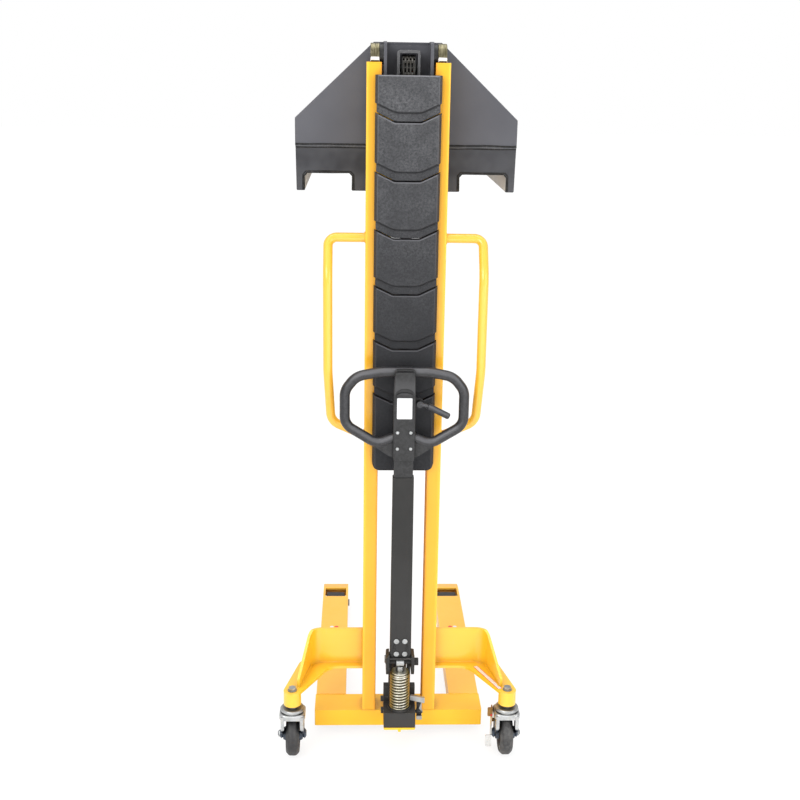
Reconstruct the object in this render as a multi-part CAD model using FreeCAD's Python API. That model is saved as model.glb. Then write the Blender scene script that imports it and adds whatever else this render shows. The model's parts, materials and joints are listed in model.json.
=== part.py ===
import FreeCAD, Part
import math
import os

from FreeCAD import Vector

# Manual hydraulic stacker with a hand pump, drawn with the fork carriage raised.
# Millimetres, drawn with Y = 0 at the rear face of the mast uprights; on writing, every node
# moves back by ORIGIN_Y, which puts the origin on the floor under the middle of the machine.
# +Z is up, +Y points to the fork tips and -Y to the operator, +X is the operator's right.

# ---- running fits and shared sizes ----
FIT = 0.05                  # radial clearance of every pin, shaft and spigot in its hole
GAP = 0.1                   # side gap between loose neighbours
TOUCH = 1e-3                # lengths below this count as zero

# ---- mast uprights ----
MAST_HALF = 108.0           # outer face of an upright from the centre
MAST_FLANGE = 39.0          # width of an upright's flanges
MAST_DEPTH = 70.0
MAST_WEB = 8.0
FLANGE_THICK = 6.0
MAST_TOP = 1942.0
MAST_MID_Y = MAST_DEPTH / 2

# ---- base frame and legs ----
BASE_HALF = 250.0
BASE_DEPTH = 92.0
BASE_LOW = 28.0
BASE_TOP = 79.0
BASE_WALL = 6.0
LEG_IN, LEG_OUT = 158.0, 248.0
LEG_TIP_Y = 896.0
LEG_NOSE = 50.0             # length of the sloped nose
LEG_NOSE_DROP = 9.0
LEG_CORNER_R = 14.0
LEG_SLOT = (768.0, 834.0)
LEG_SLOT_WIDTH = 75.0
LOAD_ROLLER_R = 37.5
LOAD_ROLLER_WIDTH = 66.0
LOAD_AXLE_R = 7.0

# ---- guard panels ----
GUARD_HALF, GUARD_FACE_HALF = 85.5, 78.0   # half widths at the back and at the face
GUARD_SLOPE = 15.0          # depth of the sloped sides
GUARD_EDGE_R = 5.0
GUARD_GAP = 1.5             # half the gap at each joint
GUARD_REAR_Y, GUARD_LIP_Y, GUARD_FRONT_Y = -31.0, -24.0, -6.0
GUARD_TOP, GUARD_BOTTOM = 1911.0, 850.0
GUARD_JOINT_TOP, GUARD_PITCH, GUARD_JOINTS = 1795.0, 149.5, 6
CHEVRON_FLAT, CHEVRON_RISE = 34.0, 24.5
GUARD_LIP = 22.0            # height of the recessed lip below each panel
GUARD_WALL = 3.0
GUARD_INSET = 4.0           # how far the lip stands in from the panel's sides
SCREW_X, SCREW_R, SCREW_HEAD = 40.0, 3.0, 1.2
SCREW_RISE = 14.0           # screw height above the flat of a joint
TIE_HALF, TIE_THICK, TIE_HEIGHT = 80.0, 6.0, 24.0

# ---- side handles ----
HANDLE_TUBE_R, HANDLE_TUBE_WALL = 12.5, 2.5

# ---- outriggers and castors ----
CASTOR_X, CASTOR_Y = 309.0, -112.0
BOSS_R, BOSS_LOW, BOSS_TOP = 25.0, 170.0, 204.0
PLATE_THICK = 8.0
WEB_Y, WEB_TOP = (52.0, 60.0), 322.0
WEB_CORNER_X = 260.0
WEB_AIM_X = 296.0           # the web passes the bolt on its inner side
WEB_END_RISE = 22.0
BOLT_R = 6.0
KINGPIN_R = 10.0
CASTOR_TRAIL = 16.0
WHEEL_R, WHEEL_HALF = 62.5, 18.8
CORE_R = 46.0
CROWN_R, CROWN_LOW, CROWN_TOP = 37.0, 132.0, 148.0
CROWN_WALL = 5.0
CROWN_REAR, CROWN_AHEAD = 34.0, 34.0   # crown reach behind and ahead of the kingpin
RACE_R, RACE_TOP = 34.0, 160.0
FORK_LEG = (28.5, 32.5)     # fork leg plate from the wheel's mid-plane
FORK_CHEEK_IN, FORK_CHEEK_LOW, FORK_CHEEK_THICK = 23.0, 92.0, 4.0   # flange at the rear edge of a leg
CAP_OUT = 37.0              # outer face of the axle caps from the wheel's mid-plane
AXLE_Y = CASTOR_Y + CASTOR_TRAIL

# ---- pump ----
PUMP_HALF = 46.0
PUMP_REAR_Y, PUMP_FRONT_Y = -106.0, 59.0
PUMP_LOW, PUMP_TOP = 85.0, 145.0
PUMP_SHELF, PUMP_SHELF_Y = 132.0, -38.0    # lower step of the block in front of the cheeks
PIVOT_Y, PIVOT_Z = -26.0, 264.3
ROLLER_PIN_Y, ROLLER_PIN_Z = -72.0, 281.0
PUMP_ROLLER_R = 14.0
PLUNGER_Y = -70.0
PLUNGER_R = 17.5
SPRING_LOW, SPRING_TOP = 133.0, 247.0
SPRING_R, SPRING_WIRE_R, SPRING_TURNS = 26.7, 2.3, 13.0
DISH_R = 25.0
PIVOT_PIN_R = 8.0
CHEEK = (22.0, 31.5)        # pump cheeks that carry the tiller pivot
ARM = (32.0, 40.5)          # tiller bracket arms outside the cheeks
VALVE_Y, VALVE_Z = -56.0, 108.0
SPINDLE_R = 5.0

# ---- cylinder, ram, yoke and chain ----
RAM_Y = 36.0
BARREL_R, BARREL_BORE, BARREL_TOP = 23.0, 19.0, 1000.0
GLAND_R, GLAND_TOP = 23.5, 1022.0
RAM_R = 16.0
RAM_FOOT = 945.0
YOKE_IN, YOKE_OUT = 23.0, 29.5
YOKE_LOW, YOKE_TOP = 1868.0, 1972.0
YOKE_BASE = 20.0
PULLEY_Z = 1928.0
CHAIN_R, CHAIN_HALF, CHAIN_THICK = 29.0, 15.0, 9.8
REAR_ANCHOR_Z, FRONT_ANCHOR_Z = 1072.0, 1742.0

# ---- fork carriage ----
CARRIAGE_TOP = 1993.0
SIDE_PLATE = (56.0, 64.0)
SIDE_PLATE_LOW = 1655.0
PLATE_Y = 94.0              # rear face of the backrest and heel plates
BACKREST_THICK, HEEL_THICK = 8.0, 14.0
BACKREST_HALF, BACKREST_TOP_HALF = 296.5, 89.0
SHOULDER_Z, SEAM_Z, HEEL_LOW = 1797.0, 1725.0, 1607.0
NOTCH = (144.0, 272.0)
NOTCH_TOP = 1654.0
FORK_WALL, FORK_TIP_Y = 8.0, 935.0
ROLLER_R, ROLLER_SPAN = 28.8, (75.0, 98.0)
STUB_R, STUB_SHOULDER_R = 15.0, 25.0
UPPER_ROLLER_Z, LOWER_ROLLER_Z = 1960.0, 1684.0

# ---- tiller ----
SHAFT_Y, SHAFT_DEPTH = -72.0, 30.0
SHAFT_LOW, SHAFT_TOP = 303.0, 849.0
SHAFT_HALF_LOW, SHAFT_HALF_TOP = 30.5, 29.2
SHAFT_WALL = 2.5
HEAD_LOW, HEAD_TOP = 900.0, 1157.0
HEAD_DEPTH, HEAD_HALF = 38.0, 29.5
HOOD_DEPTH, HOOD_LOW, BROW_DEPTH = 9.0, 1094.0, 3.5
GUSSET_HALF = 10.0
LOOP_R, LOOP_HALF = 13.8, 161.0
LEVER_X, LEVER_Z = 42.0, 1058.0

# ---- whole machine ----
ORIGIN_Y = (FORK_TIP_Y + AXLE_Y - WHEEL_R) / 2   # halfway between the fork tips and the castors


# ---- building blocks ----
def rounded_wire(points, closed):
    """Wire through corner points (x, y, z) or (x, y, z, radius) with round corners."""
    corners = [(Vector(*point[:3]), point[3] if len(point) > 3 else 0.0) for point in points]
    count = len(corners)
    ends, arcs = [], []
    for index, (corner, radius) in enumerate(corners):
        is_end = not closed and index in (0, count - 1)
        if radius == 0.0 or is_end:
            ends.append((corner, corner))
            arcs.append(None)
            continue
        back = (corners[index - 1][0] - corner).normalize()
        ahead = (corners[(index + 1) % count][0] - corner).normalize()
        half_angle = back.getAngle(ahead) / 2
        bisector = (back + ahead).normalize()
        reach = radius / math.tan(half_angle)
        middle = corner + bisector * (radius / math.sin(half_angle) - radius)
        start, stop = corner + back * reach, corner + ahead * reach
        ends.append((start, stop))
        arcs.append(Part.Arc(start, middle, stop).toShape())
    edges = []
    for index in range(count):
        if arcs[index] is not None:
            edges.append(arcs[index])
        if index == count - 1 and not closed:
            break
        leave, reach_point = ends[index][1], ends[(index + 1) % count][0]
        if (reach_point - leave).Length > 1e-6:
            edges.append(Part.makeLine(leave, reach_point))
    return Part.Wire(Part.__sortEdges__(edges))


def prism(points, direction):
    """Solid from a closed outline pushed along a direction."""
    return Part.Face(rounded_wire(points, True)).extrude(Vector(*direction))


def prism_x(outline, x):
    """Outline of (y, z[, radius]) between the two x values."""
    points = [(x[0], *corner) for corner in outline]
    return prism(points, (x[1] - x[0], 0, 0))


def prism_y(outline, y):
    """Outline of (x, z[, radius]) between the two y values."""
    points = [(corner[0], y[0], *corner[1:]) for corner in outline]
    return prism(points, (0, y[1] - y[0], 0))


def prism_z(outline, z):
    """Outline of (x, y[, radius]) between the two z values."""
    points = [(corner[0], corner[1], z[0], *corner[2:]) for corner in outline]
    return prism(points, (0, 0, z[1] - z[0]))


def box(x, y, z):
    """Block between pairs of x, y and z values."""
    return Part.makeBox(x[1] - x[0], y[1] - y[0], z[1] - z[0], Vector(x[0], y[0], z[0]))


def rod(start, end, radius):
    """Round bar between two points."""
    first = Vector(*start)
    axis = Vector(*end) - first
    return Part.makeCylinder(radius, axis.Length, first, axis)


def rod_x(x, y, z, radius):
    return rod((x[0], y, z), (x[1], y, z), radius)


def rod_y(x, y, z, radius):
    return rod((x, y[0], z), (x, y[1], z), radius)


def rod_z(x, y, z, radius):
    return rod((x, y, z[0]), (x, y, z[1]), radius)


def hexagon(start, end, across_flats):
    """Hexagonal bar between two points, for bolt heads and nuts."""
    first = Vector(*start)
    axis = Vector(*end) - first
    side = axis.cross(Vector(0.3, 0.2, 1.0) if abs(axis.z) < axis.Length / 2 else Vector(1, 0, 0))
    side = side.normalize() * (across_flats / math.sqrt(3))
    turn = FreeCAD.Rotation(axis, 60)
    corners = [side]
    for _ in range(5):
        corners.append(turn.multVec(corners[-1]))
    wire = Part.makePolygon([first + corner for corner in corners + corners[:1]])
    return Part.Face(wire).extrude(axis)


def pipe(points, radius):
    """Round bar along a path with rounded bends."""
    path = rounded_wire(points, False)
    start = Vector(*points[0][:3])
    heading = (Vector(*points[1][:3]) - start).normalize()
    profile = Part.Wire(Part.makeCircle(radius, start, heading))
    return Part.Wire(path).makePipeShell([profile], True, False)


def join(*shapes):
    """One solid from shapes that touch or overlap."""
    result = shapes[0]
    for shape in shapes[1:]:
        result = result.fuse(shape)
    merged = result.removeSplitter()
    return merged if merged.isValid() else result


def group(*shapes):
    """Separate solids kept in one node."""
    solids = [solid for shape in shapes for solid in shape.Solids]
    return Part.makeCompound(solids)


def mirrored(shape):
    """The same shape on the other side of the machine."""
    return shape.mirror(Vector(0, 0, 0), Vector(1, 0, 0))


def both_sides(shape):
    return group(shape, mirrored(shape))


# ---- frame ----
def base_crossmember():
    """Channel across the machine, open below, with the shelf that carries the pump."""
    outer = prism_z([(-BASE_HALF, 0, 4), (BASE_HALF, 0, 4), (BASE_HALF, BASE_DEPTH),
                     (-BASE_HALF, BASE_DEPTH)], (BASE_LOW, BASE_TOP))
    inner = box((-BASE_HALF + BASE_WALL, BASE_HALF - BASE_WALL),
                (BASE_WALL, BASE_DEPTH - BASE_WALL), (BASE_LOW, BASE_TOP - BASE_WALL))
    shelf = prism_z([(-PUMP_HALF, PUMP_REAR_Y - 2, 5), (PUMP_HALF, PUMP_REAR_Y - 2, 5),
                     (PUMP_HALF, PUMP_FRONT_Y), (-PUMP_HALF, PUMP_FRONT_Y)], (BASE_TOP, PUMP_LOW))
    rib_half, rib_nose = 4.0, 8.0
    rib = prism_x([(0, BASE_TOP), (0, BASE_LOW + 12), (PUMP_REAR_Y, BASE_TOP - rib_nose),
                   (PUMP_REAR_Y, BASE_TOP)], (-rib_half, rib_half))
    return join(outer.cut(inner), shelf, rib)


def leg_outline(inset):
    """Side view of a leg: flat top, sloped nose, rounded toe."""
    tip = LEG_TIP_Y - inset
    return [(BASE_DEPTH, BASE_LOW), (BASE_DEPTH, BASE_TOP - inset),
            (LEG_TIP_Y - LEG_NOSE, BASE_TOP - inset, 60), (tip - 4, BASE_TOP - LEG_NOSE_DROP - inset, 7),
            (tip, BASE_LOW + 14, 10), (tip - 14, BASE_LOW)]


def leg():
    outer = prism_x(leg_outline(0), (LEG_IN, LEG_OUT))
    plan = prism_z([(LEG_IN, BASE_DEPTH), (LEG_OUT, BASE_DEPTH), (LEG_OUT, LEG_TIP_Y, LEG_CORNER_R),
                    (LEG_IN, LEG_TIP_Y, LEG_CORNER_R)], (BASE_LOW, BASE_TOP))
    outer = outer.common(plan)
    inner = prism_x(leg_outline(BASE_WALL), (LEG_IN + BASE_WALL, LEG_OUT - BASE_WALL))
    slot_side = (LEG_OUT - LEG_IN - LEG_SLOT_WIDTH) / 2
    slot = box((LEG_IN + slot_side, LEG_OUT - slot_side), LEG_SLOT, (BASE_LOW, BASE_TOP + 1))
    axle_y = sum(LEG_SLOT) / 2
    hole = rod_x((LEG_IN - 1, LEG_OUT + 1), axle_y, LOAD_ROLLER_R, LOAD_AXLE_R + FIT)
    end_wall = box((LEG_IN, LEG_OUT), (BASE_DEPTH, BASE_DEPTH + BASE_WALL), (BASE_LOW, BASE_TOP))
    return join(outer.cut(inner), end_wall).cut(slot).cut(hole)


def load_roller():
    middle = (LEG_IN + LEG_OUT) / 2
    span = (middle - LOAD_ROLLER_WIDTH / 2, middle + LOAD_ROLLER_WIDTH / 2)
    axle_y = sum(LEG_SLOT) / 2
    body = rod_x(span, axle_y, LOAD_ROLLER_R, LOAD_ROLLER_R)
    rims = [edge for edge in body.Edges if edge.Closed]
    body = body.makeFillet(3.0, rims)
    return body.cut(rod_x(span, axle_y, LOAD_ROLLER_R, LOAD_AXLE_R + FIT))


def load_roller_axles():
    axle_y = sum(LEG_SLOT) / 2
    head_thick = 5.0
    head = hexagon((LEG_IN - head_thick, axle_y, LOAD_ROLLER_R), (LEG_IN, axle_y, LOAD_ROLLER_R), 22)
    shank = rod_x((LEG_IN, LEG_OUT - 1), axle_y, LOAD_ROLLER_R, LOAD_AXLE_R)
    return both_sides(join(head, shank))


def upright():
    """Channel section that opens towards the machine's centre."""
    inner_edge = MAST_HALF - MAST_FLANGE
    web_face = MAST_HALF - MAST_WEB
    return prism_z([(inner_edge, 0, 2.5), (MAST_HALF, 0, 4), (MAST_HALF, MAST_DEPTH, 4),
                    (inner_edge, MAST_DEPTH, 2.5), (inner_edge, MAST_DEPTH - FLANGE_THICK),
                    (web_face, MAST_DEPTH - FLANGE_THICK), (web_face, FLANGE_THICK),
                    (inner_edge, FLANGE_THICK)], (BASE_TOP, MAST_TOP))


def joint_height(index):
    """Height of a guard joint, counted from the top."""
    return GUARD_JOINT_TOP - GUARD_PITCH * index


def mast_tie_bars():
    """Flat bars across the rear flanges; one carries the fixed end of the lift chain."""
    heights = [joint_height(index) + SCREW_RISE for index in range(GUARD_JOINTS)]
    heights += [GUARD_TOP - TIE_HEIGHT, GUARD_BOTTOM + TIE_HEIGHT]
    bars = []
    for height in heights:
        bar = box((-TIE_HALF, TIE_HALF), (-TIE_THICK, 0), (height - TIE_HEIGHT / 2, height + TIE_HEIGHT / 2))
        for x in (-SCREW_X, SCREW_X):
            bar = bar.cut(rod_y(x, (-TIE_THICK - 1, 1), height, SCREW_R + FIT))
        bars.append(bar)
    lug = box((-12, 12), (-TIE_THICK, 14), (REAR_ANCHOR_Z - 22, REAR_ANCHOR_Z))
    bars[GUARD_JOINTS - 1] = join(bars[GUARD_JOINTS - 1], lug)
    return group(*bars)


def chevron(z, half, radius):
    """Left-to-right corner points of one V-shaped joint line."""
    rise = CHEVRON_RISE * (half - CHEVRON_FLAT) / (GUARD_HALF - CHEVRON_FLAT)
    return [(-half, z + rise), (-CHEVRON_FLAT, z, radius), (CHEVRON_FLAT, z, radius), (half, z + rise)]


def panel_body(top_line, bottom_line, y):
    return prism_y(top_line + bottom_line[::-1], y)


def soften_rear(shape, rear_y, radius):
    """Round the edges of the face that looks at the operator."""
    edges = []
    for edge in shape.Edges:
        box_of_edge = edge.BoundBox
        if box_of_edge.YMax < rear_y + TOUCH:
            edges.append(edge)
    return shape.makeFillet(radius, edges)


def slope_sides(shape):
    """Cut both sides back so that the panel narrows towards its face."""
    reach = GUARD_HALF + 1
    wedge = prism_z([(GUARD_FACE_HALF, GUARD_REAR_Y), (GUARD_FACE_HALF, GUARD_REAR_Y - 1),
                     (reach, GUARD_REAR_Y - 1), (reach, GUARD_REAR_Y + GUARD_SLOPE),
                     (GUARD_HALF, GUARD_REAR_Y + GUARD_SLOPE)], (GUARD_BOTTOM - 1, GUARD_TOP + 1))
    return shape.cut(wedge).cut(mirrored(wedge))


def guard_panel(top_z, bottom_z, flat_top):
    """Hollow panel with a proud face and a recessed lip along its lower joint."""
    gap = GUARD_GAP
    half, lip_half = GUARD_HALF, GUARD_HALF - GUARD_INSET
    hollow_half = GUARD_FACE_HALF - GUARD_WALL
    if flat_top:
        top_line = [(-half, top_z), (half, top_z)]
        top_inner = [(-hollow_half, top_z - GUARD_WALL), (hollow_half, top_z - GUARD_WALL)]
    else:
        top_line = chevron(top_z - gap, half, 12)
        top_inner = chevron(top_z - gap - GUARD_WALL, hollow_half, 12)
    body_low = chevron(bottom_z + GUARD_LIP, half, 60)
    body = panel_body(top_line, body_low, (GUARD_REAR_Y, GUARD_FRONT_Y))
    body = soften_rear(slope_sides(body), GUARD_REAR_Y, GUARD_EDGE_R)
    lip_top = chevron(bottom_z + GUARD_LIP + 8, lip_half, 30)
    lip_low = chevron(bottom_z + gap, lip_half, 12)
    lip = panel_body(lip_top, lip_low, (GUARD_LIP_Y, GUARD_FRONT_Y))
    cavity = panel_body(top_inner, chevron(bottom_z + GUARD_LIP + GUARD_WALL, hollow_half, 50),
                        (GUARD_REAR_Y + GUARD_WALL, GUARD_FRONT_Y))
    lip_cavity = panel_body(chevron(bottom_z + GUARD_LIP + 12, lip_half - GUARD_WALL, 30),
                            chevron(bottom_z + gap + GUARD_WALL, lip_half - GUARD_WALL, 12),
                            (GUARD_LIP_Y + GUARD_WALL, GUARD_FRONT_Y))
    panel = join(body, lip).cut(cavity).cut(lip_cavity)
    for x in (-SCREW_X, SCREW_X):
        panel = panel.cut(rod_y(x, (GUARD_REAR_Y, GUARD_FRONT_Y), bottom_z + SCREW_RISE, SCREW_R + FIT))
    return panel


def guard_panel_bottom():
    """Last panel: longer, with rounded lower corners and no lip."""
    top_z = joint_height(GUARD_JOINTS - 1) - GUARD_GAP
    half, hollow_half = GUARD_HALF, GUARD_FACE_HALF - GUARD_WALL
    wall = GUARD_WALL
    body = panel_body(chevron(top_z, half, 12), [(-half, GUARD_BOTTOM, 22), (half, GUARD_BOTTOM, 22)],
                      (GUARD_REAR_Y, GUARD_FRONT_Y))
    body = soften_rear(slope_sides(body), GUARD_REAR_Y, GUARD_EDGE_R)
    low = GUARD_BOTTOM + wall
    cavity = panel_body(chevron(top_z - wall, hollow_half, 12),
                        [(-hollow_half, low, 19), (hollow_half, low, 19)],
                        (GUARD_REAR_Y + wall, GUARD_FRONT_Y))
    return body.cut(cavity)


def guard_panels_middle():
    panels = [guard_panel(joint_height(index), joint_height(index + 1), False)
              for index in range(GUARD_JOINTS - 1)]
    return group(*panels)


def guard_screws():
    """Low-head screws that hold the lips to the tie bars."""
    screws = []
    for index in range(GUARD_JOINTS):
        height = joint_height(index) + SCREW_RISE
        for x in (-SCREW_X, SCREW_X):
            head = rod_y(x, (GUARD_LIP_Y - SCREW_HEAD, GUARD_LIP_Y), height, SCREW_R + 1.5)
            shank = rod_y(x, (GUARD_LIP_Y, 0), height, SCREW_R)
            screws.append(join(head, shank))
    return group(*screws)


def side_handle():
    """Bent tube that guards the operator's hand, standing back from the mast plane."""
    path = [(MAST_HALF, 20, 1492), (207, 20, 1492, 24), (207, -40, 1400, 90), (207, -40, 1140, 110),
            (199, -15, 990, 48), (MAST_HALF, 18, 938)]
    outer = pipe(path, HANDLE_TUBE_R)
    inner = pipe(path, HANDLE_TUBE_R - HANDLE_TUBE_WALL)
    keep = box((MAST_HALF, 260), (-100, 100), (900, 1550))
    return outer.cut(inner).common(keep)


def outrigger():
    """Curved web on a bottom plate that runs out to the castor boss."""
    start = Vector(MAST_HALF, sum(WEB_Y) / 2, BOSS_TOP)
    corner = Vector(WEB_CORNER_X, sum(WEB_Y) / 2, BOSS_TOP)
    aim = Vector(WEB_AIM_X, CASTOR_Y, BOSS_TOP)
    ahead = (aim - corner).normalize()
    side = Vector(0, 0, 1).cross(ahead).normalize()
    half = PLATE_THICK / 2
    bolt_room, slope_start, clear = 17.0, 12.0, 20.0
    end = aim - ahead * bolt_room
    turn = (Vector(0, 1, 0) + side).normalize()
    miter = half / math.cos(Vector(0, 1, 0).getAngle(side) / 2)
    outline = [(start.x, WEB_Y[1]), (*(corner + turn * miter)[:2], 44), tuple((end + side * half)[:2]),
               tuple((end - side * half)[:2]), (*(corner - turn * miter)[:2], 36), (start.x, WEB_Y[0])]
    plate_top = BOSS_TOP + PLATE_THICK
    web = prism_z(outline, (plate_top, WEB_TOP))
    reach = (end - corner).Length
    near, far = corner + ahead * slope_start, end + ahead * 5
    above = [(near.x, near.y, WEB_TOP), (far.x, far.y, plate_top + WEB_END_RISE),
             (far.x, far.y, WEB_TOP + clear), (near.x, near.y, WEB_TOP + clear)]
    above = [tuple(Vector(*point) - side * reach) for point in above]
    web = web.cut(prism(above, tuple(side * (2 * reach))))
    front_y, rear_y, front_corner_x, rear_corner_x = WEB_Y[1] + 6, 26.0, 292.0, 204.0
    plate = prism_z([(start.x, front_y), (front_corner_x, front_y, 30),
                     (CASTOR_X + BOSS_R - 0.7, CASTOR_Y + 5.8), (CASTOR_X, CASTOR_Y),
                     (CASTOR_X - BOSS_R, CASTOR_Y - 8), (rear_corner_x, rear_y, 50), (start.x, rear_y)],
                    (BOSS_TOP, plate_top))
    cap = rod_z(CASTOR_X, CASTOR_Y, (BOSS_LOW, plate_top), BOSS_R)
    hole = rod_z(CASTOR_X, CASTOR_Y, (BOSS_LOW - 1, WEB_TOP), BOLT_R + GAP)
    return join(plate, cap, web).cut(hole)


# ---- castors, drawn on the right ----
def castor_bolt():
    """Kingpin bolt with washer above and lock nut below."""
    plate_top = BOSS_TOP + PLATE_THICK
    washer_top = plate_top + 2.5
    nut_thick = 8.0
    nut_low = CROWN_TOP - CROWN_WALL - 0.5 - nut_thick
    head = hexagon((CASTOR_X, CASTOR_Y, washer_top), (CASTOR_X, CASTOR_Y, washer_top + 7.5), 19)
    washer = rod_z(CASTOR_X, CASTOR_Y, (plate_top, washer_top), 13)
    shank = rod_z(CASTOR_X, CASTOR_Y, (nut_low, washer_top), BOLT_R)
    nut = hexagon((CASTOR_X, CASTOR_Y, nut_low), (CASTOR_X, CASTOR_Y, nut_low + nut_thick), 19)
    return join(head, washer, shank, nut)


def castor_bearing():
    """Fixed race and sleeve on which the castor fork swivels."""
    race = rod_z(CASTOR_X, CASTOR_Y, (CROWN_TOP + GAP, RACE_TOP), RACE_R)
    race = race.makeFillet(5.0, [edge for edge in race.Edges if edge.Closed])
    spacer = rod_z(CASTOR_X, CASTOR_Y, (RACE_TOP, BOSS_LOW), 14)
    sleeve = rod_z(CASTOR_X, CASTOR_Y, (CROWN_TOP - CROWN_WALL - 0.5, CROWN_TOP + GAP), KINGPIN_R)
    hole = rod_z(CASTOR_X, CASTOR_Y, (CROWN_LOW, BOSS_LOW + 1), BOLT_R + GAP)
    return join(race, spacer, sleeve).cut(hole)


def castor_fork():
    """Pressed crown with a skirt all round and two legs down to the axle."""
    rear, ahead = CASTOR_Y - CROWN_REAR, CASTOR_Y + CROWN_AHEAD
    crown = prism_z([(CASTOR_X - CROWN_R, rear, 18), (CASTOR_X + CROWN_R, rear, 18),
                     (CASTOR_X + CROWN_R, ahead, 12), (CASTOR_X - CROWN_R, ahead, 12)],
                    (CROWN_LOW, CROWN_TOP))
    upper = [edge for edge in crown.Edges if edge.BoundBox.ZMin > CROWN_TOP - TOUCH]
    crown = crown.makeFillet(6.0, upper)
    room = CROWN_R - CROWN_WALL
    pocket = prism_z([(CASTOR_X - room, rear + CROWN_WALL, 13), (CASTOR_X + room, rear + CROWN_WALL, 13),
                      (CASTOR_X + room, ahead - CROWN_WALL, 7), (CASTOR_X - room, ahead - CROWN_WALL, 7)],
                     (CROWN_LOW, CROWN_TOP - CROWN_WALL))
    shape = crown.cut(pocket)
    leg_top, eye_r = CROWN_TOP - CROWN_WALL, 12.0
    eye_rear, eye_ahead, eye_low = AXLE_Y - eye_r, AXLE_Y + eye_r, WHEEL_R - eye_r
    side_view = [(rear + 1, leg_top), (rear + 1, FORK_CHEEK_LOW + 2, 8), (eye_rear, WHEEL_R + 4, 20),
                 (eye_rear, eye_low, eye_r - 0.5), (eye_ahead, eye_low, eye_r - 0.5),
                 (eye_ahead + 4, CROWN_LOW - 14, 20), (ahead - 8, leg_top)]
    for sign in (-1, 1):
        inner, outer = CASTOR_X + sign * FORK_LEG[0], CASTOR_X + sign * FORK_LEG[1]
        cheek_inner = CASTOR_X + sign * FORK_CHEEK_IN
        cheek = prism_y([(cheek_inner, leg_top), (outer, leg_top), (outer, FORK_CHEEK_LOW, 2),
                         (cheek_inner, FORK_CHEEK_LOW + 12, 3)], (rear, rear + FORK_CHEEK_THICK))
        shape = join(shape, prism_x(side_view, sorted((inner, outer))), cheek)
    shape = shape.cut(rod_z(CASTOR_X, CASTOR_Y, (CROWN_LOW - 1, CROWN_TOP + 1), KINGPIN_R + FIT))
    return shape.cut(rod_x((CASTOR_X - 50, CASTOR_X + 50), AXLE_Y, WHEEL_R, BOLT_R + GAP))


def cone_x(x, radii):
    """Cone on the wheel axle from one x value to another."""
    return Part.makeCone(radii[0], radii[1], abs(x[1] - x[0]), Vector(x[0], AXLE_Y, WHEEL_R),
                         Vector(x[1] - x[0], 0, 0))


def castor_axle():
    """Axle bolt, its nut, the thread guards beside the wheel and the caps outside the legs."""
    inner, outer = CASTOR_X - CAP_OUT, CASTOR_X + CAP_OUT
    head = rod_x((inner - 2, inner), AXLE_Y, WHEEL_R, 8)
    shank = rod_x((inner, outer + 7), AXLE_Y, WHEEL_R, BOLT_R)
    nut = hexagon((outer, AXLE_Y, WHEEL_R), (outer + 5, AXLE_Y, WHEEL_R), 17)
    nut = nut.cut(rod_x((outer, outer + 5), AXLE_Y, WHEEL_R, BOLT_R))
    guards = []
    for sign in (-1, 1):
        guard_x = (CASTOR_X + sign * (WHEEL_HALF + 1.0), CASTOR_X + sign * (FORK_LEG[0] - 0.5))
        cap_x = (CASTOR_X + sign * FORK_LEG[1], CASTOR_X + sign * CAP_OUT)
        for x, radii in ((guard_x, (21, 17)), (cap_x, (15, 11))):
            hole = rod_x(sorted(x), AXLE_Y, WHEEL_R, BOLT_R)
            guards.append(cone_x(x, radii).cut(hole))
    return group(join(head, shank), nut, *guards)


def castor_tyre():
    """Rubber tyre with a crowned tread."""
    section = [(CASTOR_X - WHEEL_HALF, CORE_R), (CASTOR_X - WHEEL_HALF, WHEEL_R - 9, 6),
               (CASTOR_X - WHEEL_HALF + 9, WHEEL_R, 8), (CASTOR_X + WHEEL_HALF - 9, WHEEL_R, 8),
               (CASTOR_X + WHEEL_HALF, WHEEL_R - 9, 6), (CASTOR_X + WHEEL_HALF, CORE_R)]
    points = [(corner[0], AXLE_Y, WHEEL_R + corner[1], *corner[2:]) for corner in section]
    face = Part.Face(rounded_wire(points, True))
    return face.revolve(Vector(CASTOR_X, AXLE_Y, WHEEL_R), Vector(1, 0, 0), 360)


def castor_core():
    """Wheel centre with dished sides."""
    body = rod_x((CASTOR_X - WHEEL_HALF + 1, CASTOR_X + WHEEL_HALF - 1), AXLE_Y, WHEEL_R, CORE_R)
    for sign in (-1, 1):
        rim = CASTOR_X + sign * WHEEL_HALF
        floor = CASTOR_X + sign * (WHEEL_HALF - 9)
        dish = rod_x(sorted((floor, rim)), AXLE_Y, WHEEL_R, CORE_R - 6)
        dish = dish.cut(rod_x(sorted((floor, rim)), AXLE_Y, WHEEL_R, 16))
        body = body.cut(dish)
    return body.cut(rod_x((CASTOR_X - 30, CASTOR_X + 30), AXLE_Y, WHEEL_R, BOLT_R + FIT))


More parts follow.
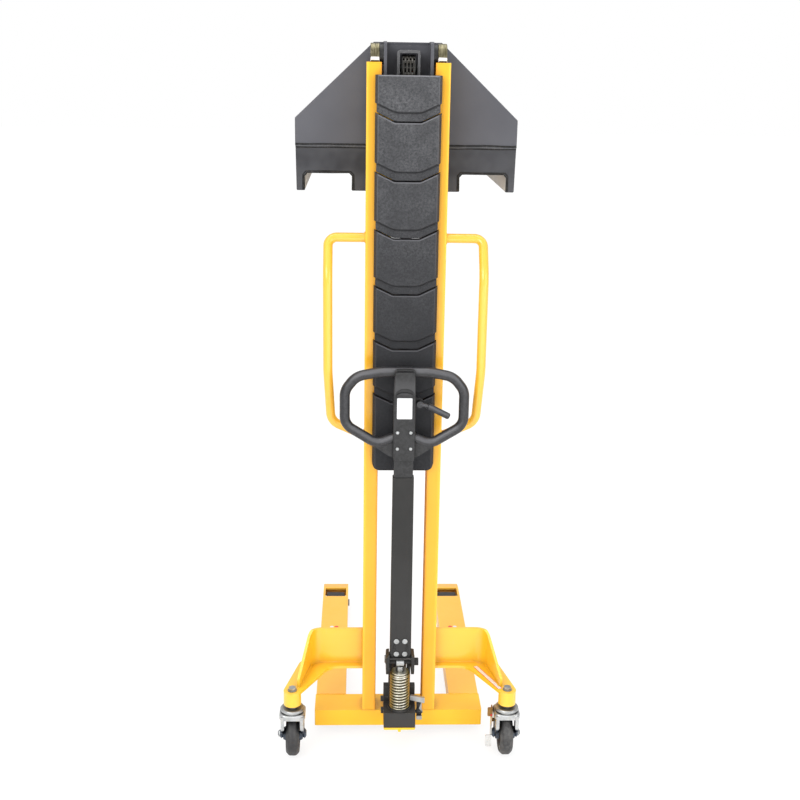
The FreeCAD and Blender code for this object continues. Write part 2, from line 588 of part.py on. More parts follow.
def brake_rocker():
    """Foot brake on the inner side of the right castor: rocker plate with two foot tabs."""
    plate_x = (CASTOR_X - 42.1, CASTOR_X - 39.1)
    pivot_z, pivot_r, tab_thick = 104.0, 5.0, 3.0
    upper_y, lower_y = -112.0, -104.0       # rear faces of the tabs
    outline = [(upper_y, 132, 3), (lower_y, 150, 4), (-88, 150, 4), (-80, 100, 12), (-84, 60, 10),
               (-92, 22, 3), (lower_y, 22, 3), (-100, 70, 20)]
    plate = prism_x(outline, plate_x)
    pivot = rod_x((plate_x[1], CASTOR_X - FORK_LEG[1]), AXLE_Y, pivot_z, pivot_r)
    upper_tab = prism_y([(254.5, 125, 3), (plate_x[1], 125, 3), (plate_x[1], 153, 3), (254.5, 153, 3)],
                        (upper_y, upper_y + tab_thick))
    neck = box(plate_x, (upper_y, -100), (130, 148))
    lower_tab = prism_y([(251.5, 20, 4), (plate_x[1], 20, 1), (plate_x[1], 58, 1), (251.5, 58, 4)],
                        (lower_y, lower_y + tab_thick))
    return join(plate, pivot, upper_tab, neck, lower_tab)


# ---- hydraulics ----
def pump_body():
    """Pump block with cylinder socket, tiller cheeks, side lugs and a collar round the spring seat."""
    socket_half = BARREL_R + 7
    block = prism_z([(-PUMP_HALF, PUMP_REAR_Y, 4), (PUMP_HALF, PUMP_REAR_Y, 4), (PUMP_HALF, -8, 4),
                     (socket_half, 8, 10), (socket_half, PUMP_FRONT_Y, 10),
                     (-socket_half, PUMP_FRONT_Y, 10), (-socket_half, 8, 10), (-PUMP_HALF, -8, 4)],
                    (PUMP_LOW, PUMP_TOP))
    shelf = box((-PUMP_HALF - 1, PUMP_HALF + 1), (PUMP_REAR_Y - 1, PUMP_SHELF_Y), (PUMP_SHELF, PUMP_TOP + 1))
    seat_r = SPRING_R + SPRING_WIRE_R + 2
    collar = rod_z(0, PLUNGER_Y, (PUMP_SHELF - 1, PUMP_SHELF + 7), seat_r + 3)
    seat = rod_z(0, PLUNGER_Y, (SPRING_LOW, PUMP_TOP + 1), seat_r)
    bore = rod_z(0, PLUNGER_Y, (PUMP_LOW + 2, PUMP_TOP), PLUNGER_R + FIT)
    shape = join(block.cut(shelf), collar).cut(seat).cut(bore)
    cheek_top, lug_top = PIVOT_Z + 13, PUMP_TOP + 36
    cheek_outline = [(-38, PUMP_TOP), (-38, PIVOT_Z + 4, 8), (-32, cheek_top, 8), (-14, cheek_top, 10),
                     (-7, PIVOT_Z - 10, 10), (-4, PUMP_TOP)]
    lug_outline = [(-36, PUMP_TOP), (-36, lug_top, 5), (-12, lug_top, 5), (-12, PUMP_TOP)]
    for sign in (-1, 1):
        shape = join(shape, prism_x(cheek_outline, sorted((sign * CHEEK[0], sign * CHEEK[1]))))
        shape = join(shape, prism_x(lug_outline, sorted((sign * CHEEK[1], sign * PUMP_HALF))))
    plug_end = -PUMP_HALF - 8
    for y, z, across_flats in ((-62, 117, 17), (-25, 133, 15)):
        shape = join(shape, hexagon((plug_end, y, z), (-PUMP_HALF, y, z), across_flats))
    pin_hole = rod_x((-PUMP_HALF, PUMP_HALF), PIVOT_Y, PIVOT_Z, PIVOT_PIN_R + FIT)
    spindle_hole = rod_x((30, PUMP_HALF + 1), VALVE_Y, VALVE_Z, SPINDLE_R + FIT)
    return shape.cut(pin_hole).cut(spindle_hole)


def pump_plunger():
    """Plunger rod with the spring dish and the hardened cap under the roller."""
    cap_top = ROLLER_PIN_Z - PUMP_ROLLER_R
    stem = rod_z(0, PLUNGER_Y, (138, SPRING_TOP), PLUNGER_R)
    dish = rod_z(0, PLUNGER_Y, (SPRING_TOP + GAP, SPRING_TOP + 4), DISH_R)
    cap = rod_z(0, PLUNGER_Y, (SPRING_TOP, cap_top - FIT), 11)
    return join(stem, cap, dish)


def pump_spring():
    """Round-wire return spring around the plunger."""
    low = SPRING_LOW + SPRING_WIRE_R + GAP
    height = SPRING_TOP - SPRING_WIRE_R - GAP - low
    helix = Part.makeHelix(height / SPRING_TURNS, height, SPRING_R)
    helix.translate(Vector(0, PLUNGER_Y, low))
    profile = Part.Wire(Part.makeCircle(SPRING_WIRE_R, Vector(SPRING_R, PLUNGER_Y, low), Vector(0, 1, 0)))
    return Part.Wire(helix).makePipeShell([profile], True, True)


def valve_lever():
    """Lowering valve spindle with a hanging plate, its screw, a foot tab and the cross bar."""
    plate_x, plate_y = (51, 66), (VALVE_Y - 4, VALVE_Y)
    spindle = rod_x((32, plate_x[1] + 3), VALVE_Y, VALVE_Z, SPINDLE_R)
    plate = prism_y([(plate_x[0], 88), (plate_x[1], 88), (plate_x[1], 150), (plate_x[0], 150)], plate_y)
    bar = prism_y([(31, 151, 2), (74, 140, 3), (74, 157, 3), (31, 166, 2)], (VALVE_Y - 9, VALVE_Y))
    tab = prism_y([(plate_x[0], 86, 2), (plate_x[1] + 1, 86, 2), (plate_x[1] + 1, 98, 2),
                   (plate_x[0], 98, 2)], (VALVE_Y - 9, VALVE_Y - 1))
    screw = rod_y(54, (VALVE_Y - 8, plate_y[0]), 118, 4.5)
    return join(spindle, plate, bar, tab, screw)


def tiller_pivot_pin():
    head_face = ARM[1] + 0.5
    pin = rod_x((-head_face, head_face), PIVOT_Y, PIVOT_Z, PIVOT_PIN_R)
    heads = [rod_x(sorted((sign * head_face, sign * (head_face + 3))), PIVOT_Y, PIVOT_Z, 11)
             for sign in (-1, 1)]
    return join(pin, *heads)


def cylinder_barrel():
    shape = rod_z(0, RAM_Y, (PUMP_TOP, BARREL_TOP), BARREL_R)
    return shape.cut(rod_z(0, RAM_Y, (PUMP_TOP + 8, BARREL_TOP), BARREL_BORE))


def gland_nut():
    shape = hexagon((0, RAM_Y, BARREL_TOP), (0, RAM_Y, GLAND_TOP), 2 * GLAND_R - 3)
    shape = shape.common(rod_z(0, RAM_Y, (BARREL_TOP, GLAND_TOP), GLAND_R))
    return shape.cut(rod_z(0, RAM_Y, (BARREL_TOP, GLAND_TOP), RAM_R + FIT))


def ram_rod():
    piston = rod_z(0, RAM_Y, (RAM_FOOT, RAM_FOOT + 30), BARREL_BORE - FIT)
    bar = rod_z(0, RAM_Y, (RAM_FOOT, YOKE_LOW), RAM_R)
    spigot = rod_z(0, RAM_Y, (YOKE_LOW, YOKE_LOW + YOKE_BASE - 2), 10)
    return join(piston, bar, spigot)


def ram_yoke():
    """Inverted U over the chain pulley, on a block that takes the ram."""
    y = (14, 58)
    outer = prism_y([(-YOKE_OUT, YOKE_LOW), (YOKE_OUT, YOKE_LOW), (YOKE_OUT, YOKE_TOP, 8),
                     (-YOKE_OUT, YOKE_TOP, 8)], y)
    inner = prism_y([(-YOKE_IN, YOKE_LOW + YOKE_BASE), (YOKE_IN, YOKE_LOW + YOKE_BASE),
                     (YOKE_IN, YOKE_TOP - 7, 3), (-YOKE_IN, YOKE_TOP - 7, 3)], (y[0] - 1, y[1] + 1))
    shape = outer.cut(inner)
    shape = shape.cut(rod_z(0, RAM_Y, (YOKE_LOW - 1, YOKE_LOW + YOKE_BASE - 1), 10 + GAP))
    return shape.cut(rod_x((-YOKE_OUT, YOKE_OUT), RAM_Y, PULLEY_Z, 10 + GAP))


def pulley_pin():
    return rod_x((-YOKE_OUT, YOKE_OUT), RAM_Y, PULLEY_Z, 10)


def chain_pulley():
    """Grooved pulley under the chain."""
    half = CHAIN_HALF + 3
    groove_r = CHAIN_R - CHAIN_THICK / 2 - GAP
    body = rod_x((-half, half), RAM_Y, PULLEY_Z, groove_r)
    for sign in (-1, 1):
        rim = sorted((sign * (CHAIN_HALF + 1), sign * half))
        body = join(body, rod_x(rim, RAM_Y, PULLEY_Z, CHAIN_R + 5))
    return body.cut(rod_x((-half, half), RAM_Y, PULLEY_Z, 10 + FIT))


def chain_wrap():
    """Chain on the upper half of the pulley."""
    x = (-CHAIN_HALF, CHAIN_HALF)
    ring = rod_x(x, RAM_Y, PULLEY_Z, CHAIN_R + CHAIN_THICK / 2)
    ring = ring.cut(rod_x(x, RAM_Y, PULLEY_Z, CHAIN_R - CHAIN_THICK / 2))
    return ring.common(box(x, (RAM_Y - 50, RAM_Y + 50), (PULLEY_Z + GAP, PULLEY_Z + 50)))


def chain_run(y, low):
    """Straight stretch of chain from an anchor up to the pulley."""
    return box((-CHAIN_HALF, CHAIN_HALF), (y - CHAIN_THICK / 2, y + CHAIN_THICK / 2), (low + GAP, PULLEY_Z))


# ---- fork carriage ----
def carriage_frame():
    """Two side plates with cross bars, roller stubs and the chain anchor."""
    rear_y = 10.0
    outline = [(rear_y, SIDE_PLATE_LOW, 8), (rear_y, CARRIAGE_TOP, 6), (PLATE_Y, CARRIAGE_TOP),
               (PLATE_Y, SIDE_PLATE_LOW)]
    shape = prism_x(outline, SIDE_PLATE)
    shape = group(shape, mirrored(shape))
    bar_y = (76, PLATE_Y)
    inside = (-SIDE_PLATE[0], SIDE_PLATE[0])
    bars = [box(inside, bar_y, (1878, 1984)), box(inside, bar_y, (1724, 1756)),
            box(inside, bar_y, (SIDE_PLATE_LOW + 2, SIDE_PLATE_LOW + 34)),
            box((-12, 12), (RAM_Y + 24, bar_y[0]), (FRONT_ANCHOR_Z - 18, FRONT_ANCHOR_Z))]
    for bar in bars:
        shape = shape.fuse(bar)
    for height in (UPPER_ROLLER_Z, LOWER_ROLLER_Z):
        shoulder = rod_x((SIDE_PLATE[1], ROLLER_SPAN[0] - 0.5), MAST_MID_Y, height, STUB_SHOULDER_R)
        stub = rod_x((SIDE_PLATE[1], ROLLER_SPAN[1] - 0.2), MAST_MID_Y, height, STUB_R)
        right = join(shoulder, stub)
        shape = shape.fuse(right).fuse(mirrored(right))
    return shape.removeSplitter()


def mast_roller(height):
    """Steel roller with rounded rims that runs between the upright's flanges."""
    body = rod_x(ROLLER_SPAN, MAST_MID_Y, height, ROLLER_R)
    body = body.makeFillet(2.0, [edge for edge in body.Edges if edge.Closed])
    return body.cut(rod_x(ROLLER_SPAN, MAST_MID_Y, height, STUB_R + FIT))


def backrest_plate():
    return prism_y([(-BACKREST_HALF, SEAM_Z), (BACKREST_HALF, SEAM_Z), (BACKREST_HALF, SHOULDER_Z, 3),
                    (BACKREST_TOP_HALF, CARRIAGE_TOP - 1, 3), (-BACKREST_TOP_HALF, CARRIAGE_TOP - 1, 3),
                    (-BACKREST_HALF, SHOULDER_Z, 3)], (PLATE_Y, PLATE_Y + BACKREST_THICK))


def heel_plate():
    """Thick plate with two notches that drop over the legs."""
    notch_r = 12.0
    right = [(NOTCH[0] - 8, HEEL_LOW), (NOTCH[0], HEEL_LOW), (NOTCH[0], NOTCH_TOP, notch_r),
             (NOTCH[1], NOTCH_TOP, notch_r), (NOTCH[1], HEEL_LOW), (BACKREST_HALF - 3, HEEL_LOW, 3),
             (BACKREST_HALF - 1, SEAM_Z)]
    left = [(-corner[0], *corner[1:]) for corner in reversed(right)]
    return prism_y(right + left, (PLATE_Y, PLATE_Y + HEEL_THICK))


def fork():
    """Inverted channel that closes over the leg, with tapered skirts and a rounded tip."""
    outer_x = (NOTCH[0] - FORK_WALL, NOTCH[1] + FORK_WALL)
    heel_y, top, middle = PLATE_Y + HEEL_THICK, NOTCH_TOP + FORK_WALL, sum(outer_x) / 2
    tip_half, tip_length, skirt_run = 34.0, 60.0, 560.0
    plan = prism_z([(outer_x[0], heel_y), (outer_x[1], heel_y), (outer_x[1], FORK_TIP_Y - tip_length, 60),
                    (middle + tip_half, FORK_TIP_Y, 30), (middle - tip_half, FORK_TIP_Y, 30),
                    (outer_x[0], FORK_TIP_Y - tip_length, 60)], (HEEL_LOW, top))
    side = prism_x([(heel_y, top), (heel_y, HEEL_LOW), (heel_y + skirt_run, HEEL_LOW, 300),
                    (FORK_TIP_Y, NOTCH_TOP - 14), (FORK_TIP_Y, top, 3)], outer_x)
    inner_y, inner_tip = FORK_TIP_Y - tip_length - 4, FORK_TIP_Y - FORK_WALL
    inner = prism_z([(NOTCH[0], heel_y - 1), (NOTCH[1], heel_y - 1), (NOTCH[1], inner_y, 54),
                     (middle + tip_half - 4, inner_tip, 24), (middle - tip_half + 4, inner_tip, 24),
                     (NOTCH[0], inner_y, 54)], (HEEL_LOW - 1, NOTCH_TOP))
    return plan.common(side).cut(inner)


# ---- tiller ----
def tiller_bracket():
    """Two arms on the pivot pin, a cross plate and a tongue inside the shaft."""
    arm_top, arm_bevel = 312.0, 8.0
    tongue_half, tongue_rise, rod_hole_r, roller_pin_r = 26.0, 75.0, 5.0, 7.0
    arm_outline = [(-96, arm_top, 8), (-96, 266, 14), (-80, 242, 12), (-14, 242, 16), (-10, 276, 14),
                   (-50, arm_top, 14)]
    shape = None
    for sign in (-1, 1):
        arm = prism_x(arm_outline, sorted((sign * ARM[0], sign * ARM[1])))
        bevel = prism_y([(sign * (ARM[1] - arm_bevel), arm_top), (sign * ARM[1], arm_top - arm_bevel),
                         (sign * ARM[1], arm_top)], (-100, 0))
        arm = arm.cut(bevel)
        shape = arm if shape is None else shape.fuse(arm)
    plate = box((-ARM[0], ARM[0]), (-93, -54), (SHAFT_LOW - 6, SHAFT_LOW))
    half_depth = SHAFT_DEPTH / 2 - SHAFT_WALL - GAP
    tongue = box((-tongue_half, tongue_half), (SHAFT_Y - half_depth, SHAFT_Y + half_depth),
                 (SHAFT_LOW, SHAFT_LOW + tongue_rise))
    shape = join(shape, plate, tongue)
    shape = shape.cut(rod_x((-50, 50), PIVOT_Y, PIVOT_Z, PIVOT_PIN_R + FIT))
    shape = shape.cut(rod_x((-50, 50), ROLLER_PIN_Y, ROLLER_PIN_Z, roller_pin_r + FIT))
    shape = shape.cut(rod_z(0, SHAFT_Y, (SHAFT_LOW, SHAFT_LOW + tongue_rise + 5), rod_hole_r))
    for x, height in rivet_places()[:4]:
        shape = shape.cut(rod_y(x, (SHAFT_Y - SHAFT_DEPTH, SHAFT_Y), height, 4 + FIT))
    return shape


def pump_roller_pin():
    """Pin of the pressure roller with its round head on the right."""
    pin = rod_x((-ARM[1] - 2, ARM[1]), ROLLER_PIN_Y, ROLLER_PIN_Z, 7)
    head = rod_x((ARM[1], ARM[1] + 12), ROLLER_PIN_Y, ROLLER_PIN_Z, 11)
    return join(pin, head)


def pump_roller():
    body = rod_x((-11, 11), ROLLER_PIN_Y, ROLLER_PIN_Z, PUMP_ROLLER_R)
    return body.cut(rod_x((-11, 11), ROLLER_PIN_Y, ROLLER_PIN_Z, 7 + FIT))


def rivet_places():
    """(x, z) of the four shaft rivets, then of the four head rivets."""
    low = [(x, z) for z in (313, 353) for x in (-12, 12)]
    high = [(x, z) for z in (935, 981) for x in (-18, 18)]
    return low + high


def tiller_rivets():
    shaft_rear = SHAFT_Y - SHAFT_DEPTH / 2
    head_rear = SHAFT_Y - HEAD_DEPTH / 2
    rivets = []
    for index, (x, height) in enumerate(rivet_places()):
        rear, head_r, shank_r = (shaft_rear, 8, 4) if index < 4 else (head_rear, 4.8, 3)
        dome = rod_y(x, (rear - 2.5, rear), height, head_r)
        rims = [edge for edge in dome.Edges if edge.Closed and edge.BoundBox.YMax < rear - 1]
        dome = dome.makeFillet(2.0, rims)
        rivets.append(join(dome, rod_y(x, (rear, rear + 8), height, shank_r)))
    return group(*rivets)


def tiller_shaft():
    """Tapered rectangular tube."""
    wall = SHAFT_WALL
    y = (SHAFT_Y - SHAFT_DEPTH / 2, SHAFT_Y + SHAFT_DEPTH / 2)
    outer = prism_y([(-SHAFT_HALF_LOW, SHAFT_LOW), (SHAFT_HALF_LOW, SHAFT_LOW), (SHAFT_HALF_TOP, SHAFT_TOP),
                     (-SHAFT_HALF_TOP, SHAFT_TOP)], y)
    sides = [edge for edge in outer.Edges if edge.BoundBox.ZLength > 100]
    outer = outer.makeFillet(4.0, sides)
    inner = prism_y([(-26 - GAP, SHAFT_LOW), (26 + GAP, SHAFT_LOW), (26 + GAP, SHAFT_TOP),
                     (-26 - GAP, SHAFT_TOP)], (y[0] + wall, y[1] - wall))
    shape = outer.cut(inner)
    for x, height in rivet_places()[:4]:
        shape = shape.cut(rod_y(x, (y[0] - 1, SHAFT_Y), height, 4 + FIT))
    return shape


def loop_path():
    """Right half of the loop, from the top centre round to the neck."""
    return [(0, 1148), (66, 1146, 160), (131, 1133, 55), (LOOP_HALF, 1094, 48), (LOOP_HALF, 998, 42),
            (72, 943, 45), (26, 962)]


def handle_loop():
    right = loop_path()
    left = [(-corner[0], *corner[1:]) for corner in reversed(right)]
    outline = left[:-1] + right[1:]
    return pipe([(corner[0], SHAFT_Y, *corner[1:]) for corner in outline], LOOP_R)


def tiller_head():
    """Housing with hood, brow, gussets and lever lug; its neck plugs into the top of the shaft."""
    rear, front = SHAFT_Y - HEAD_DEPTH / 2, SHAFT_Y + HEAD_DEPTH / 2
    half = HEAD_HALF
    outer = prism_y([(-half + 2, HEAD_LOW), (half - 2, HEAD_LOW), (half, 915, 20), (half, 1060, 40),
                     (half - 2.5, HEAD_TOP, 8), (-half + 2.5, HEAD_TOP, 8), (-half, 1060, 40),
                     (-half, 915, 20)], (rear, front))
    long_edges = [edge for edge in outer.Edges
                  if edge.BoundBox.YLength < TOUCH and edge.BoundBox.ZMin > HEAD_LOW + 1]
    outer = outer.makeFillet(3.0, long_edges)
    side = half - 3
    hood = prism_y([(-side, HOOD_LOW), (-side / 2, HOOD_LOW + 13, 25), (side / 2, HOOD_LOW + 13, 25),
                    (side, HOOD_LOW), (side, HEAD_TOP - 6, 8), (-side, HEAD_TOP - 6, 8)],
                   (rear - HOOD_DEPTH, rear + 1))
    brow_low, brow_high, brow_side = HOOD_LOW - 15, HOOD_LOW - 7, half - 8
    brow_arch, brow_mid = 6.0, brow_side / 2
    brow = prism_y([(-brow_side, brow_low), (-brow_mid, brow_low + 2, 20),
                    (brow_mid, brow_low + 2, 20), (brow_side, brow_low), (brow_side, brow_high),
                    (brow_mid, brow_high + brow_arch, 20), (-brow_mid, brow_high + brow_arch, 20),
                    (-brow_side, brow_high)], (rear - BROW_DEPTH, rear + 1))
    gussets = None
    for sign in (-1, 1):
        gusset = prism_y([(sign * 26, 906), (sign * 42, 912), (sign * 88, 944), (sign * 72, 947),
                          (sign * 26, 950)], (SHAFT_Y - GUSSET_HALF, SHAFT_Y + GUSSET_HALF))
        gussets = gusset if gussets is None else gussets.fuse(gusset)
    lug = prism_y([(half - 4, 1040), (LEVER_X + 9, 1046, 8), (LEVER_X + 9, 1069, 8), (half - 4, 1076)],
                  (SHAFT_Y + 2, SHAFT_Y + 10))
    neck_half = SHAFT_DEPTH / 2 - SHAFT_WALL - GAP
    neck = box((-26, 26), (SHAFT_Y - neck_half, SHAFT_Y + neck_half), (SHAFT_TOP - 34, HEAD_LOW))
    shape = join(outer, hood, brow, gussets, lug, neck)
    shape = shape.cut(handle_loop())
    shape = shape.cut(rod_z(0, SHAFT_Y, (SHAFT_TOP - 40, 1066), 5))
    shape = shape.cut(rod_y(LEVER_X, (SHAFT_Y, SHAFT_Y + 12), LEVER_Z, 4 + FIT))
    for x, height in rivet_places()[4:]:
        shape = shape.cut(rod_y(x, (rear - 1, rear + 9), height, 3 + FIT))
    return shape


def control_lever():
    """Raise and lower lever: hub and pin in the lug, slanted rod with a grip."""
    rear = SHAFT_Y + 1.5
    hub = rod_y(LEVER_X, (rear - 13, rear), LEVER_Z, 9)
    pin = rod_y(LEVER_X, (rear, SHAFT_Y + 12), LEVER_Z, 4)
    bar_r, grip_r, grip_start, grip_end = 6.0, 8.8, (62, 1053), (122, 1023)
    y = rear - 7.5
    bar = rod((LEVER_X, y, LEVER_Z), (grip_start[0] + 4, y, grip_start[1] - 2), bar_r)
    grip = rod((grip_start[0], y, grip_start[1]), (grip_end[0], y, grip_end[1]), grip_r)
    grip = grip.makeFillet(5.0, [edge for edge in grip.Edges if edge.Closed])
    return join(hub, pin, bar, grip)


def release_rod():
    return rod_z(0, SHAFT_Y, (SHAFT_LOW + 12, 1054), 3)


# ---- write every node ----
def main():
    right_nodes = {"leg": leg(), "upright": upright(), "side_handle": side_handle(),
                   "outrigger": outrigger(), "castor_fork": castor_fork(), "castor_axle": castor_axle(),
                   "castor_tyre": castor_tyre(), "castor_core": castor_core(), "load_roller": load_roller(),
                   "fork": fork(), "upper_roller": mast_roller(UPPER_ROLLER_Z),
                   "lower_roller": mast_roller(LOWER_ROLLER_Z)}
    nodes = {}
    for name, shape in right_nodes.items():
        nodes["right_" + name] = shape
        nodes["left_" + name] = mirrored(shape)
    nodes.update({
        "base_crossmember": base_crossmember(),
        "load_roller_axles": load_roller_axles(),
        "mast_tie_bars": mast_tie_bars(),
        "guard_panel_top": guard_panel(GUARD_TOP, joint_height(0), True),
        "guard_panels_middle": guard_panels_middle(),
        "guard_panel_bottom": guard_panel_bottom(),
        "guard_screws": guard_screws(),
        "castor_bolts": both_sides(castor_bolt()),
        "castor_bearings": both_sides(castor_bearing()),
        "brake_rocker": brake_rocker(),
        "pump_body": pump_body(),
        "pump_plunger": pump_plunger(),
        "pump_spring": pump_spring(),
        "valve_lever": valve_lever(),
        "tiller_pivot_pin": tiller_pivot_pin(),
        "cylinder_barrel": cylinder_barrel(),
        "gland_nut": gland_nut(),
        "ram_rod": ram_rod(),
        "ram_yoke": ram_yoke(),
        "pulley_pin": pulley_pin(),
        "chain_pulley": chain_pulley(),
        "chain_wrap": chain_wrap(),
        "chain_rear_run": chain_run(RAM_Y - CHAIN_R, REAR_ANCHOR_Z),
        "chain_front_run": chain_run(RAM_Y + CHAIN_R, FRONT_ANCHOR_Z),
        "carriage_frame": carriage_frame(),
        "backrest_plate": backrest_plate(),
        "heel_plate": heel_plate(),
        "tiller_bracket": tiller_bracket(),
        "pump_roller_pin": pump_roller_pin(),
        "pump_roller": pump_roller(),
        "tiller_rivets": tiller_rivets(),
        "tiller_shaft": tiller_shaft(),
        "handle_loop": handle_loop(),
        "tiller_head": tiller_head(),
        "control_lever": control_lever(),
        "release_rod": release_rod(),
    })
    os.makedirs("parts", exist_ok=True)
    for name, shape in nodes.items():
        shape.translate(Vector(0, -ORIGIN_Y, 0))
        closed = all(solid.isValid() and solid.isClosed() for solid in shape.Solids)
        verdict = "ok" if closed and shape.Solids else "BAD"
        print(name, len(shape.Solids), verdict, round(shape.Volume / 1000, 1))
        shape.exportStep("parts/" + name + ".step")


main()
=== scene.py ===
import json
import math
import random

import bmesh
import bpy
from mathutils import Matrix, Vector


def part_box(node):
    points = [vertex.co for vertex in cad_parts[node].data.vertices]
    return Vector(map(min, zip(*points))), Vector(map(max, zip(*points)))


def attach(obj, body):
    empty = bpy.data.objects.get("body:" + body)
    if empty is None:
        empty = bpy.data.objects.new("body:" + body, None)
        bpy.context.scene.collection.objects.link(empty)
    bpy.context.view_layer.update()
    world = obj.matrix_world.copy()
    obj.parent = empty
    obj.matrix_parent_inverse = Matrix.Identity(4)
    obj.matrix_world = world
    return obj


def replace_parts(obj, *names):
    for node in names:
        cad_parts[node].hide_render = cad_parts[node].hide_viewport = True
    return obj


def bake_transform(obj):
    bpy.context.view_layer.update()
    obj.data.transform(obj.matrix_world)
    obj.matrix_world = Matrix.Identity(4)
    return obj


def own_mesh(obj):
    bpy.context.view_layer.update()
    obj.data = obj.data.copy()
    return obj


# Looks of a manual hydraulic stacker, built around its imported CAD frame.
# Metres, in the frame's axes: +Z up, +Y to the fork tips, -Y to the operator, +X the operator's right.

MM = 0.001

# ---- camera, stage and light ----
CAMERA_PLACE = (-124.2, -3066.3, 1947.0)                           # mm, from the mast's rear face
CAMERA_YAW, CAMERA_PITCH, CAMERA_ROLL = 0.0374, 0.2854, -0.0158   # radians
CAMERA_LENS, SENSOR = 52.12, 36.0                                 # mm
FLOOR_HALF = 30.0

# ---- fine detail, mm ----
CHAIN_PITCH, PIN_R = 15.0, 2.6
PLATE_THICK = 3.4
SPRING_WIRE_R, SPRING_TURNS = 2.3, 13.0
BEAD_STEP, BEAD_RIPPLE = 1.3, 3.4

# ---- places on the CAD pieces that no box gives, mm from the mast's rear face ----
HANDLE_TUBE_R = 12.5
HANDLE_TOP, HANDLE_FOOT = (20, 1492), (18, 938)        # (y, z) of the side handle's two ends
WEB_PATH = [(238, 52), (252, 45), (260, 31), (287.5, -94)]   # foot of the outrigger web
PLATE_TOP = 212.0                                      # upper face of the outrigger plate
NOTCH_IN, NOTCH_OUT, NOTCH_TOP, NOTCH_LOW = 144.0, 272.0, 1654.0, 1609.0
STUB_LENGTH = 34.0
FORK_WALL = 8.2
HEAD_REAR_Y, LABEL_Z = -91.0, 1049.0
STRIP_PLACE, STRIP_AIM = (259, -43), (60, -130)
REFLECTOR_Y, REFLECTOR_Z, REFLECTOR_XS = 529, 79, (195, 211)
BRAKE_MARK_PLACE = (265.5, -112, 129)
THREAD_GUARD_HALF = 37.6
FORK_TAPER = 200.0                                     # length of a fork tip
BRAKE_MIDDLE_Z = 100.0                                 # the lower tab has another finish
VALVE_PLATE_Z, VALVE_PLATE_X = (99.0, 139.0), 62.0
SIDE_FACES, PLATE_REAR = (54.5, 65.5), 94.0            # carriage side plates, backrest
CARRIAGE_STITCHES, STITCH = (1745, 1805, 1950), 30
WEB_Y, OUTRIGGER_REAR_Y = 52, 26
MAST_FRONT_Y, BASE_FRONT_Y = 70, 92

# ---- looks ----
GUARD_BLUE = (0.030, 0.042, 0.062)
EDGE_ROUND = 0.4                                       # mm, unless the slot has its own
EDGE_ROUNDS = {"yellow_paint": 1.2, "carriage_paint": 1.2, "black_paint": 0.8, "guard_plastic": 0.5,
               "moulded_black": 0.8}

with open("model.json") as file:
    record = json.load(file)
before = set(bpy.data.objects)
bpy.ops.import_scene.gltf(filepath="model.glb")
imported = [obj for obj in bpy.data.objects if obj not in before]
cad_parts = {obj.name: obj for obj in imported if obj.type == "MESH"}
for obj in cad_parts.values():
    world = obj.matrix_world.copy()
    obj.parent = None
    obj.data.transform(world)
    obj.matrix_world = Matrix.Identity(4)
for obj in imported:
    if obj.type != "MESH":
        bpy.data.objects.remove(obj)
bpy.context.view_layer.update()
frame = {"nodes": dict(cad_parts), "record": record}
NODES = frame["nodes"]
MAST_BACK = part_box("left_upright")[0].y
RANDOM = random.Random(11)


def at(x, y, z):
    """Place in the frame from millimetres measured from the mast's rear face."""
    return Vector((x * MM, MAST_BACK + y * MM, z * MM))


def measured(place):
    """Millimetres from the mast's rear face of a place in the frame."""
    return place.x / MM, (place.y - MAST_BACK) / MM, place.z / MM


